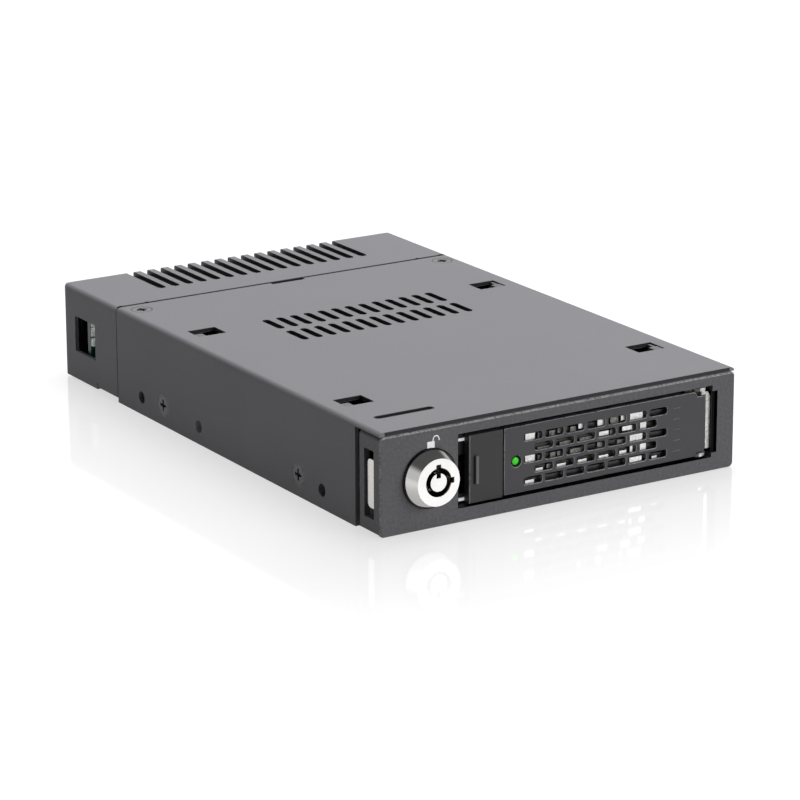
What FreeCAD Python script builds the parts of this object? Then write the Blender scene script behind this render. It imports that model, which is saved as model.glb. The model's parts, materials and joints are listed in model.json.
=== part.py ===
import FreeCAD, Part
import math
import os
import Sketcher

# Mobile rack for one 2.5 inch drive, made to fill a 3.5 inch bay. Millimetres.
# X runs to the right, Y runs back from the bezel's face and Z runs up from the case's underside.

SIZES = {
    # case
    "case_width": 101.6,  # 3.5 inch bay
    "case_height": 25.4,  # 3.5 inch bay
    "case_length": 129.2,  # bezel face to the seam in front of the hood
    "hood_length": 30.0,
    "sheet": 1.0,
    "sheet_fit": 0.1,
    "cover_lap": 0.4,  # bezel face to the cover's front edge
    "cover_bend": 1.2,
    "hood_bend": 0.6,
    "seam_gap": 0.35,
    "side_start": 11.0,  # front edge of the cover's sides
    "flange_height": 9.5,
    "flange_start": 12.0,
    "hood_foot": 0.6,
    "hood_arch": 1.2,
    "hood_arch_length": 11.4,
    "hood_relief": 0.4,
    "hood_relief_high": 2.2,
    "tail_inset": 3.3,  # the floor under the hood is this much narrower on each side
    # cover details
    "vent_width": 2.1,
    "vent_length": 9.6,
    "vent_pitch": 4.07,
    "vent_front": 77.1,
    "vent_back": 89.1,
    "hood_slot_pitch": 4.13,
    "hood_slot_width": 2.3,
    "hood_slot_length": 19.2,
    "hood_slot_drop": 6.0,
    "lance_inset": 4.7,  # case side to the lance's outer end
    "lance_width": 7.8,
    "lance_length": 6.2,
    "lance_front": 22.7,
    "lance_back": 93.6,
    "lance_depth": 1.1,
    "lance_tab": 0.8,
    "slit_inset": 6.6,  # case side to the slit's centre at its left end
    "slit_length": 14.1,
    "slit_back": 11.3,
    "slit_width": 1.6,
    "key_slot_width": 10.0,
    "key_slot_length": 1.4,
    # side fixings
    "bay_hole_first": 26.2,
    "bay_hole_second": 86.2,
    "bay_hole_third": 116.2,
    "bay_hole_height": 4.6,
    "bay_hole": 3.2,
    "insert_width": 4.8,
    "insert_length": 1.6,
    "insert_thread": 2.5,
    "side_screw_first": 37.3,
    "side_screw_second": 104.8,
    "side_screw_height": 5.4,
    "screw_shank": 2.8,
    "screw_head": 5.8,
    "screw_length": 4.0,
    "screw_fit": 0.1,
    "pan_head": 4.8,
    "pan_thick": 1.6,
    "recess_width": 3.0,
    "recess_slot": 0.7,
    "recess_depth": 0.7,
    "hood_screw_inset": 4.9,
    "hood_screw_lead": 4.8,
    "tongue_width": 7.6,
    "tongue_inset": 1.3,
    "tongue_length": 10.2,
    "tongue_relief": 0.9,
    # bezel
    "bezel_depth": 9.0,
    "bezel_face": 2.8,
    "bezel_lip": 1.1,  # the face reaches down over the floor's front edge
    "bezel_wall": 1.5,
    "bezel_corner": 1.2,
    "bezel_edge": 0.4,
    "bay_left_inset": 21.3,
    "bay_right_inset": 6.8,
    "bay_low": 3.5,
    "bay_drop": 3.6,  # case top to the bay's top
    "hook_web": 0.6,
    "hook_slot_reach": 1.5,
    "hook_slot_rise": 1.2,
    "hook_slot_drop": 1.5,
    "hook_slot_back": 7.0,
    # lock
    "lock_inset": 13.4,
    "lock_height": 12.5,
    "lock_face": 11.5,
    "lock_base": 14.6,
    "lock_base_thick": 0.5,
    "lock_shoulder": 13.9,
    "lock_stand": 4.1,
    "barrel": 11.9,
    "barrel_length": 13.0,
    "barrel_groove": 10.4,
    "core_bore": 7.0,
    "core_post": 4.4,
    "core_mark": 1.2,
    "key_depth": 4.5,
    "key_notch": 1.4,
    "key_notch_reach": 0.8,
    "key_notch_depth": 2.0,
    "core_fit": 0.05,
    "seat_gap": 0.05,
    "core_tail": 4.0,
    "cam_gap": 0.3,
    "cam_thick": 1.5,
    "cam_reach": 11.0,
    "cam_width": 7.6,
    "cam_screw": 2.5,
    "cam_screw_length": 5.0,
    "cam_screw_slot": 0.5,
    "clip_thick": 0.8,
    "clip_height": 11.8,
    "clip_drop": 0.4,  # the clip's middle lies this far under the lock's centre
    "clip_flange": 3.4,
    "clip_inset": 0.5,
    "clip_slot_height": 16.6,
    "clip_slot_room": 0.75,
    # tray and drive
    "tray_fit": 0.55,
    "tray_wall": 1.0,
    "tray_lift": 0.3,
    "tray_drop": 1.4,
    "tray_tail": 0.9,
    "nose_tab": 2.8,
    "nose_gap_back": 9.0,
    "drive_lead": 4.6,
    "drive_length": 100.0,
    "drive_hole_inset": 4.34,
    "drive_hole_back": 14.0,
    "drive_hole_front": 90.6,
    "drive_hole": 3.4,
    "floor_window_width": 46.0,
    "floor_window_length": 52.0,
    "block_gap": 0.25,
    "block_depth": 8.5,
    "block_rail": 1.6,
    "block_right_post": 5.6,
    "piece_gap": 0.1,
    "tray_screw_lead": 2.6,
    "tray_screw_drop": 4.0,
    "tray_screw_shank": 2.4,
    "tray_screw_head": 4.2,
    "tray_screw_length": 4.4,
    "notch_margin": 1.5,
    # door: lever and button
    "door_front": 0.8,
    "door_thick": 1.8,
    "door_lift": 0.4,
    "door_drop": 1.2,
    "door_gap": 0.3,
    "door_edge": 0.35,
    "lever_inset": 4.3,
    "lever_corner": 2.8,
    "lip_inset": 1.5,
    "lip_thick": 0.8,
    "lip_trim": 1.3,
    "slot_lead": 8.2,
    "slot_tail": 8.6,
    "slot_pitch": 6.05,
    "slot_row_pitch": 2.7,
    "slot_row_rise": 8.1,
    "slot_length": 4.8,
    "slot_height": 1.7,
    "light_lead": 3.4,
    "light_hole": 2.9,
    "light_pipe": 2.4,
    "light_recess": 1.2,
    "plate": 0.6,
    "plate_lead": 1.6,
    "plate_tail": 0.7,
    "plate_rise": 1.3,
    "plate_drop": 1.4,
    "plate_bar": 1.5,
    "plate_post": 1.4,
    "plate_post_lead": 7.0,
    "plate_post_tail": 18.2,
    "plate_rim": 0.8,
    "pivot_inset": 2.7,
    "pivot_back": 3.2,
    "pin": 1.5,
    "knuckle": 2.9,
    "knuckle_web": 1.4,
    "ear": 4.8,
    "ear_thick": 0.8,
    "ear_gap": 0.1,
    "strip_width": 1.3,
    "strip_rise": 1.1,
    "curl": 1.4,
    "curl_reach": 1.0,
    "hinge_room": 3.3,
    "hinge_side_room": 2.6,
    "torsion_wire": 0.4,
    "torsion_room": 3.6,
    "button_inset": 3.7,
    "button_width": 9.5,
    "button_thick": 2.2,
    "button_travel": 2.6,
    "ridge_width": 0.9,
    "ridge_inset": 1.4,
    "ridge_height": 6.8,
    "ridge_stand": 0.6,
    "stem_width": 3.5,
    "stem_height": 6.0,
    "stem_back": 7.6,
    "stem_inset": 4.4,
    "nose_rise": 2.3,
    "nose_height": 2.8,
    "nose_thick": 1.0,
    "room_gap": 0.4,
    "spring_wire": 0.35,
    "spring_coil": 3.2,
    # guides and boards
    "guide_wall": 1.5,
    "guide_gap": 0.5,
    "guide_lead": 0.55,
    "guide_drop": 1.4,
    "guide_foot": 4.4,
    "guide_foot_thick": 1.0,
    "guide_ledge": 4.4,
    "guide_screw_lead": 17.0,
    "guide_screw_tail": 20.0,
    "boss_width": 4.4,
    "boss_length": 7.0,
    "boss_height": 15.0,
    "board": 1.6,
    "board_lift": 1.2,
    "board_drop": 2.0,
    "drive_board_gap": 3.4,
    "socket_width": 42.0,
    "socket_height": 5.6,
    "socket_lift": 0.6,
    "socket_mouth": 2.6,
    "socket_mouth_depth": 4.4,
    "link_height": 8.6,
    "link_width": 50.0,
    "header_width": 40.0,
    "header_height": 2.5,
    "header_depth": 4.5,
    "rear_board_lead": 12.2,  # rear board's front to the hood's back
    "rear_board_gap": 0.5,
    "rear_tab_width": 7.0,
    "rear_tab_height": 9.0,
    "rear_tab_inset": 10.8,
    "rear_tab_hole": 5.0,
    "port_height": 8.6,
    "data_across": 24.0,
    "data_width": 16.0,
    "data_high": 7.0,
    "power_across": -14.0,
    "power_width": 24.0,
    "power_high": 9.0,
    "port_wall": 1.2,
    "port_depth": 6.5,
    "port_lip": 0.6,
    "window_lead": 12.0,
    "window_length": 11.4,
    "window_low": 8.2,
    "window_high": 17.8,
}
VENT_COUNT = 13
HOOD_SLOT_COUNT = 16
SLOT_FLATS = 3  # flats on each end of a slot
SCREW_SIDES = 12
FLAT_SHARE = math.cos(math.pi / SCREW_SIDES)
CAM_FLATS = 8
COIL_TURNS = 4
COIL_STEPS = 8
COIL_SIDES = 4

doc = FreeCAD.newDocument("DriveCage")
sheet = doc.addObject("Spreadsheet::Sheet", "Sizes")
pieces = []


class Size:
    """A number that remembers the sheet expression it comes from."""

    def __init__(self, value, text):
        self.value = value
        self.text = text

    def __add__(self, other):
        other = as_size(other)
        return Size(self.value + other.value, f"({self.text} + {other.text})")

    def __sub__(self, other):
        other = as_size(other)
        return Size(self.value - other.value, f"({self.text} - {other.text})")

    def __mul__(self, other):
        other = as_size(other)
        return Size(self.value * other.value, f"({self.text} * {other.text})")

    def __truediv__(self, other):
        other = as_size(other)
        return Size(self.value / other.value, f"({self.text} / {other.text})")

    def __neg__(self):
        return Size(-self.value, f"(0 - {self.text})")


def as_size(item):
    """Plain numbers join an expression as they are."""
    if isinstance(item, Size):
        return item
    return Size(float(item), f"({item})")


def fill_sheet():
    """Write every driving size to the sheet and return them by name."""
    named = {}
    for row, (alias, value) in enumerate(SIZES.items(), start=1):
        sheet.set(f"A{row}", alias)
        sheet.set(f"B{row}", str(value))
        sheet.setAlias(f"B{row}", alias)
    doc.recompute()
    for alias in SIZES:
        named[alias] = Size(float(sheet.get(alias)), f"Sizes.{alias}")
    return named


def bind(item, name, size):
    """Drive one property of an object from the sheet."""
    item.setExpression(name, as_size(size).text)


def place(item, across, back, up):
    bind(item, "Placement.Base.x", across)
    bind(item, "Placement.Base.y", back)
    bind(item, "Placement.Base.z", up)


def block(name, left, right, front, back, low, high):
    """A box between six faces."""
    item = doc.addObject("Part::Box", name)
    bind(item, "Length", as_size(right) - left)
    bind(item, "Width", as_size(back) - front)
    bind(item, "Height", as_size(high) - low)
    place(item, left, front, low)
    return item


AXIS_TURN = {
    "X": FreeCAD.Rotation(FreeCAD.Vector(0, 1, 0), 90),
    "Y": FreeCAD.Rotation(FreeCAD.Vector(1, 0, 0), -90),
    "Z": FreeCAD.Rotation(),
}


def turn_to(item, axis, spot):
    """Stand an object on an axis, starting from a point."""
    item.Placement = FreeCAD.Placement(FreeCAD.Vector(), AXIS_TURN[axis])
    place(item, *spot)
    return item


def round_bar(name, axis, spot, width, length):
    """A cylinder of a diameter that starts at a point and runs along an axis."""
    item = doc.addObject("Part::Cylinder", name)
    bind(item, "Radius", as_size(width) / 2)
    bind(item, "Height", length)
    return turn_to(item, axis, spot)


def flat_bar(name, axis, spot, width, length):
    """A screw's shank or hole as a prism, measured over its corners."""
    item = doc.addObject("Part::Prism", name)
    item.Polygon = SCREW_SIDES
    bind(item, "Circumradius", as_size(width) / 2)
    bind(item, "Height", length)
    return turn_to(item, axis, spot)


def round_taper(name, axis, spot, start_width, end_width, length):
    """A cone between two diameters."""
    item = doc.addObject("Part::Cone", name)
    bind(item, "Radius1", as_size(start_width) / 2)
    bind(item, "Radius2", as_size(end_width) / 2)
    bind(item, "Height", length)
    return turn_to(item, axis, spot)


def shifted(axis, spot, distance):
    """The point moved along an axis."""
    return [as_size(value) + distance if letter == axis else value for letter, value in zip("XYZ", spot)]


def flat_taper(name, axis, spot, start_width, end_width, length):
    """A tapered bar to match flat_bar: square wedges turned against each other, and their common part."""
    ends = [as_size(width) / 2 * FLAT_SHARE for width in (start_width, end_width)]
    wedges = []
    for step in range(SCREW_SIDES // 4):
        wedge = doc.addObject("Part::Wedge", f"{name}Wedge{step}")
        for mark, reach in zip(("", "2"), ends):
            for letter in "XZ":
                bind(wedge, f"{letter}{mark}min", reach * -1)
                bind(wedge, f"{letter}{mark}max", reach)
        bind(wedge, "Ymin", 0)
        bind(wedge, "Ymax", length)
        turn = (step + 0.5) * 360 / SCREW_SIDES
        wedge.Placement = FreeCAD.Placement(
            FreeCAD.Vector(), FreeCAD.Rotation(ALONG_Z, turn).multiply(FreeCAD.Rotation(ALONG_X, 90))
        )
        wedges.append(wedge)
    item = doc.addObject("Part::MultiCommon", name)
    item.Shapes = wedges
    return turn_to(item, axis, spot)


def ordered(first, second):
    """Two sizes in rising order."""
    return sorted((as_size(first), as_size(second)), key=lambda size: size.value)


def join(name, items):
    item = doc.addObject("Part::MultiFuse", name)
    item.Shapes = items
    item.Refine = True
    return item


def group(name, items):
    """Separate solids that share one node, such as a set of screws."""
    item = doc.addObject("Part::Compound", name)
    item.Links = items
    return item


def cut(name, base, tools):
    item = doc.addObject("Part::Cut", name)
    item.Base = base
    item.Tool = tools[0] if len(tools) == 1 else join(name + "Tools", tools)
    item.Refine = True
    return item


def common(name, first, second):
    item = doc.addObject("Part::Common", name)
    item.Base = first
    item.Tool = second
    return item


def keep(item, label):
    """Name a finished sub-part."""
    item.Label = label
    pieces.append(item)
    return item


# Sketches lie on an origin plane; each plane's own axis is X, Y or Z of the case.
PLANES = {"X": ("YZ_Plane", 1), "Y": ("XZ_Plane", -1), "Z": ("XY_Plane", 1)}


def new_body(name):
    return doc.addObject("PartDesign::Body", name)


def new_sketch(body, axis, level, name):
    """An empty sketch square to an axis, at a level along it."""
    role, sense = PLANES[axis]
    sketch = body.newObject("Sketcher::SketchObject", name)
    plane = next(item for item in body.Origin.OriginFeatures if item.Role == role)
    sketch.AttachmentSupport = [(plane, "")]
    sketch.MapMode = "FlatFace"
    bind(sketch, "AttachmentOffset.Base.z", as_size(level) * sense)
    return sketch


def fix_point(sketch, line, end, across, up):
    """Hold one point of a sketch at bound coordinates."""
    for kind, size in (("DistanceX", as_size(across)), ("DistanceY", as_size(up))):
        index = sketch.addConstraint(Sketcher.Constraint(kind, -1, 1, line, end, size.value))
        sketch.setExpression(f"Constraints[{index}]", size.text)


def draw_outline(sketch, points):
    """A closed run of straight lines."""
    first = sketch.GeometryCount
    spots = [FreeCAD.Vector(as_size(a).value, as_size(b).value, 0) for a, b in points]
    count = len(points)
    for index in range(count):
        sketch.addGeometry(Part.LineSegment(spots[index], spots[(index + 1) % count]))
    for index in range(count):
        follower = first + (index + 1) % count
        sketch.addConstraint(Sketcher.Constraint("Coincident", first + index, 2, follower, 1))
    for index, (across, up) in enumerate(points):
        fix_point(sketch, first + index, 1, across, up)


def draw_box(sketch, left, right, low, high):
    draw_outline(sketch, [(left, low), (right, low), (right, high), (left, high)])


def draw_circle(sketch, across, up, width):
    index = sketch.GeometryCount
    size = as_size(width) / 2
    middle = FreeCAD.Vector(as_size(across).value, as_size(up).value, 0)
    sketch.addGeometry(Part.Circle(middle, FreeCAD.Vector(0, 0, 1), size.value))
    fix_point(sketch, index, 3, across, up)
    radius = sketch.addConstraint(Sketcher.Constraint("Radius", index, size.value))
    sketch.setExpression(f"Constraints[{radius}]", size.text)


def draw_slot(sketch, start, end, width, flats=SLOT_FLATS):
    """A slot between two end centres that share a coordinate, with each end in a few flats."""
    half = as_size(width) / 2
    upright = as_size(start[0]).value == as_size(end[0]).value
    points = []
    for centre, sense in ((end, 1), (start, -1)):
        for step in range(flats + 1):
            turn = math.pi * (step / flats - 0.5)
            along = half * round(math.cos(turn) * sense, 6)
            side = half * round(math.sin(turn) * sense, 6)
            if upright:
                points.append((as_size(centre[0]) - side, as_size(centre[1]) + along))
            else:
                points.append((as_size(centre[0]) + along, as_size(centre[1]) + side))
    draw_outline(sketch, points)


def pad(body, sketch, axis, length):
    """Add material from the sketch towards the axis's positive end."""
    item = body.newObject("PartDesign::Pad", sketch.Name + "Pad")
    item.Profile = sketch
    bind(item, "Length", length)
    item.Reversed = PLANES[axis][1] < 0
    doc.recompute()
    return item


def pocket(body, sketch, axis, length):
    """Remove material from the sketch towards the axis's positive end."""
    before = body.Shape.Volume
    item = body.newObject("PartDesign::Pocket", sketch.Name + "Pocket")
    item.Profile = sketch
    bind(item, "Length", length)
    item.Reversed = PLANES[axis][1] > 0
    doc.recompute()
    if item.Shape.Volume > before - 1e-6:
        raise RuntimeError(f"{item.Name} removes nothing")
    return item


def add_box(body, name, axis, level, length, sides):
    sketch = new_sketch(body, axis, level, name)
    draw_box(sketch, *sides)
    return pad(body, sketch, axis, length)


def cut_box(body, name, axis, level, length, sides):
    sketch = new_sketch(body, axis, level, name)
    draw_box(sketch, *sides)
    return pocket(body, sketch, axis, length)


def repeat(body, features, name, count, pitch):
    """Copy features along X at a fixed pitch."""
    item = body.newObject("PartDesign::LinearPattern", name)
    item.Originals = features
    sketch = features[0].Profile[0]
    item.Direction = (sketch, ["H_Axis"])
    bind(item, "Length", as_size(pitch) * (count - 1))
    item.Occurrences = count
    body.Tip = item
    doc.recompute()
    return item


def edges_along(shape, axis, test):
    """Names of the straight edges that run along an axis and whose middle passes a test."""
    names = []
    for index, edge in enumerate(shape.Edges, start=1):
        if len(edge.Vertexes) != 2:
            continue
        span = edge.Vertexes[1].Point - edge.Vertexes[0].Point
        if span.Length < 1e-6 or abs(abs(span.dot(axis)) - span.Length) > 1e-6:
            continue
        if test((edge.Vertexes[0].Point + edge.Vertexes[1].Point) * 0.5):
            names.append(f"Edge{index}")
    return names


def round_edges(body, name, axis, radius, test, kind="Fillet"):
    """Fillet or chamfer the chosen straight edges of a body."""
    base = body.Tip
    names = edges_along(base.Shape, axis, test)
    if not names:
        raise RuntimeError(f"{name} finds no edge")
    item = body.newObject(f"PartDesign::{kind}", name)
    item.Base = (base, names)
    bind(item, "Radius" if kind == "Fillet" else "Size", radius)
    doc.recompute()
    return item


ALONG_X = FreeCAD.Vector(1, 0, 0)
ALONG_Y = FreeCAD.Vector(0, 1, 0)
ALONG_Z = FreeCAD.Vector(0, 0, 1)
PAST = 1.0  # how far a cutting tool runs past the face it opens
NEAR = 1e-3

S = fill_sheet()

# Case.
HALF_WIDTH = S["case_width"] / 2
INNER_SIDE = HALF_WIDTH - S["sheet"]
ROOF = S["case_height"] - S["sheet"]
THROUGH_SHEET = S["sheet"] + 2 * PAST
HOOD_FRONT = S["case_length"] + S["seam_gap"]
HOOD_BACK = S["case_length"] + S["hood_length"]
FLANGE_OUT = INNER_SIDE - S["sheet_fit"]
FLANGE_IN = FLANGE_OUT - S["sheet"]
HEAD_DEPTH = S["sheet"] - S["screw_fit"]
HEAD_WIDE = S["screw_head"] + S["screw_fit"] * 2
SCREW_HOLE = S["screw_shank"] + S["screw_fit"] * 2
BAY_HOLES = (S["bay_hole_first"], S["bay_hole_second"], S["bay_hole_third"])
SIDE_SCREWS = (S["side_screw_first"], S["side_screw_second"])
HOOD_SCREW_ACROSS = HALF_WIDTH - S["hood_screw_inset"]
HOOD_SCREW_BACK = S["case_length"] - S["hood_screw_lead"]

# Bezel, its bay and the lock.
BEZEL_LOW = S["sheet"] + S["sheet_fit"]
BEZEL_HIGH = ROOF - S["sheet_fit"]
BAY_LEFT = -HALF_WIDTH + S["bay_left_inset"]
BAY_RIGHT = HALF_WIDTH - S["bay_right_inset"]
BAY_HIGH = S["case_height"] - S["bay_drop"]
HOOK_SLOT_LOW = S["bay_low"] + S["hook_slot_rise"]
HOOK_SLOT_HIGH = BAY_HIGH - S["hook_slot_drop"]
LOCK_ACROSS = -HALF_WIDTH + S["lock_inset"]
CLIP_MIDDLE = S["lock_height"] - S["clip_drop"]
CLIP_FRONT = S["bezel_face"] + S["seat_gap"]
CAM_FRONT = S["barrel_length"] + S["cam_gap"]
CAM_BACK = CAM_FRONT + S["cam_thick"]
CAM_SCREW_BACK = CAM_BACK + S["seat_gap"] + S["pan_thick"]

# Door: button at the left, lever at the right.
DOOR_LOW = S["bay_low"] + S["door_lift"]
DOOR_HIGH = BAY_HIGH - S["door_drop"]
DOOR_BACK = S["door_front"] + S["door_thick"]
BUTTON_LEFT = BAY_LEFT + S["button_inset"]
BUTTON_RIGHT = BUTTON_LEFT + S["button_width"]
BUTTON_BACK = S["door_front"] + S["button_thick"]
DOOR_SPLIT = BUTTON_RIGHT + S["door_gap"]
LEVER_RIGHT = BAY_RIGHT - S["lever_inset"]
LIP_RIGHT = BAY_RIGHT - S["lip_inset"]
LIGHT_ACROSS = DOOR_SPLIT + S["light_lead"]
LIGHT_FRONT = S["door_front"] + S["light_recess"]
ROW_MIDDLE = DOOR_LOW + S["slot_row_rise"]
ROW_TWO = ROW_MIDDLE + S["slot_row_pitch"]
ROW_FOUR = ROW_MIDDLE - S["slot_row_pitch"]
SLOT_FIRST = DOOR_SPLIT + S["slot_lead"]
ROW_ROOM = LEVER_RIGHT - S["slot_tail"] - S["slot_length"] / 2 - SLOT_FIRST
LONG_ROW_COUNT = int(ROW_ROOM.value / S["slot_pitch"].value) + 1
PLATE_FRONT = DOOR_BACK + S["seat_gap"]
PLATE_BACK = PLATE_FRONT + S["plate"]
PLATE_LEFT = DOOR_SPLIT + S["plate_lead"]
PLATE_RIGHT = LEVER_RIGHT - S["plate_tail"]
PLATE_LOW = DOOR_LOW + S["plate_rise"]
PLATE_HIGH = DOOR_HIGH - S["plate_drop"]
PIVOT_ACROSS = BAY_RIGHT - S["pivot_inset"]
PIN_BORE = S["pin"] + S["core_fit"] * 2
EAR_LOW = DOOR_LOW
EAR_HIGH = DOOR_HIGH + S["ear_thick"] - S["ear_gap"]
HINGE_LEFT = PIVOT_ACROSS - S["hinge_side_room"]
HINGE_BACK = S["pivot_back"] + S["hinge_room"]
STEM_LEFT = BUTTON_LEFT + S["stem_inset"]
STEM_LOW = ROW_MIDDLE - S["stem_height"] / 2
NOSE_LOW = DOOR_LOW + S["nose_rise"]
NOSE_HIGH = NOSE_LOW + S["nose_height"]
NOSE_FRONT = PLATE_BACK + S["door_gap"]
NOSE_BACK = NOSE_FRONT + S["nose_thick"]
KEEPER_RIGHT = PLATE_LEFT + S["plate"]
SPRING_LEFT = STEM_LEFT - S["button_travel"] - S["spring_coil"]
SPRING_BACK = (BUTTON_BACK + S["stem_back"]) / 2 + S["room_gap"]

# Tray and the drive's place in it.
TRAY_LEFT = BAY_LEFT + S["tray_fit"]
TRAY_RIGHT = BAY_RIGHT - S["tray_fit"]
TRAY_MIDDLE = (TRAY_LEFT + TRAY_RIGHT) / 2
TRAY_LOW = S["bay_low"] + S["tray_lift"]
TRAY_HIGH = BAY_HIGH - S["tray_drop"]
TRAY_FLOOR = TRAY_LOW + S["tray_wall"]
TRAY_NOSE = BUTTON_BACK + S["door_gap"]
BLOCK_LEFT = TRAY_LEFT + S["tray_wall"] + S["piece_gap"]
BLOCK_RIGHT = TRAY_RIGHT - S["tray_wall"] - S["piece_gap"]
BLOCK_LOW = TRAY_FLOOR + S["piece_gap"]
BLOCK_HIGH = DOOR_HIGH
BLOCK_FRONT = PLATE_BACK + S["block_gap"]
BLOCK_BACK = BLOCK_FRONT + S["block_depth"]
DRIVE_START = BLOCK_BACK + S["drive_lead"]
DRIVE_BACK = DRIVE_START + S["drive_length"]
TRAY_END = DRIVE_BACK + S["tray_tail"]
TRAY_SCREW_SPOT = (BLOCK_BACK - S["tray_screw_lead"], TRAY_HIGH - S["tray_screw_drop"])
TRAY_SCREW_HOLE = S["tray_screw_shank"] + S["screw_fit"] * 2
TRAY_HEAD_DEPTH = S["tray_wall"] - S["screw_fit"]

# Guides and boards.
GUIDE_FRONT = CAM_SCREW_BACK + S["guide_lead"]
GUIDE_LEFT = TRAY_LEFT - S["guide_gap"]
GUIDE_RIGHT = TRAY_RIGHT + S["guide_gap"]
GUIDE_STEP = TRAY_LOW - S["piece_gap"]
DRIVE_BOARD_FRONT = DRIVE_BACK + S["drive_board_gap"]
DRIVE_BOARD_BACK = DRIVE_BOARD_FRONT + S["board"]
GUIDE_BACK = DRIVE_BOARD_FRONT - S["seat_gap"]
GUIDE_SCREWS = (GUIDE_FRONT + S["guide_screw_lead"], DRIVE_BOARD_FRONT - S["guide_screw_tail"])
GUIDE_SCREW_LINES = (GUIDE_LEFT + S["guide_ledge"] / 2, GUIDE_RIGHT - S["guide_ledge"] / 2)
BOARD_SCREWS = (GUIDE_LEFT - S["boss_width"] / 2, GUIDE_RIGHT + S["boss_width"] / 2)
BOARD_LOW = S["sheet"] + S["board_lift"]
BOARD_HIGH = ROOF - S["board_drop"]
REAR_BOARD_FRONT = HOOD_BACK - S["rear_board_lead"]
REAR_BOARD_BACK = REAR_BOARD_FRONT + S["board"]
REAR_TABS = (-HALF_WIDTH + S["rear_tab_inset"], HALF_WIDTH - S["rear_tab_inset"])
PORTS = (
    (S["data_across"], S["data_width"], S["data_high"]),
    (S["power_across"], S["power_width"], S["power_high"]),
)


def side_screw_holes(name, level):
    """Cutters for the case screw holes through one upright wall."""
    holes = []
    for back in SIDE_SCREWS:
        spot = (level - PAST, back, S["side_screw_height"])
        holes.append(flat_bar(name, "X", spot, SCREW_HOLE, THROUGH_SHEET))
    return holes


def screw_head(name, axis, spot, sense, wide, slim, depth):
    """A countersunk head or its seat, from its wide face at the point."""
    if sense > 0:
        return flat_taper(name, axis, spot, wide, slim, depth)
    return flat_taper(name, axis, shifted(axis, spot, -depth), slim, wide, depth)


def cross_recess(name, axis, spot, sense):
    """Two crossed slots sunk from a screw's face."""
    half_long = S["recess_width"] / 2
    half_thin = S["recess_slot"] / 2
    arms = []
    for turn, reaches in enumerate(((half_long, half_thin), (half_thin, half_long))):
        sides = []
        across = iter(reaches)
        for letter, centre in zip("XYZ", spot):
            if letter == axis:
                ends = (as_size(centre) - PAST * sense, as_size(centre) + S["recess_depth"] * sense)
            else:
                reach = next(across)
                ends = (as_size(centre) - reach, as_size(centre) + reach)
            sides += ordered(*ends)
        arms.append(block(f"{name}{turn}", *sides))
    return arms


def flat_screw(name, axis, spot, sense, length):
    """Countersunk screw whose head face lies at the point; sense is the way its shank runs."""
    shank = S["screw_shank"]
    depth = HEAD_DEPTH - S["screw_fit"]
    head = screw_head(name + "Head", axis, spot, sense, S["screw_head"], shank, depth)
    foot = spot if sense > 0 else shifted(axis, spot, -length)
    stem = flat_bar(name + "Shank", axis, foot, shank, length)
    return cut(name, join(name + "Solid", [head, stem]), cross_recess(name + "Recess", axis, spot, sense))


def pan_screw(name, spot, sense, shank, length):
    """Pan head screw along Y; its head's underside lies at the point and its shank runs by sense."""
    foot = spot if sense > 0 else shifted("Y", spot, -length)
    crown = shifted("Y", spot, -S["pan_thick"]) if sense > 0 else spot
    stem = flat_bar(name + "Shank", "Y", foot, shank, length)
    head = flat_bar(name + "Head", "Y", crown, S["pan_head"], S["pan_thick"])
    return join(name, [stem, head])


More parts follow.
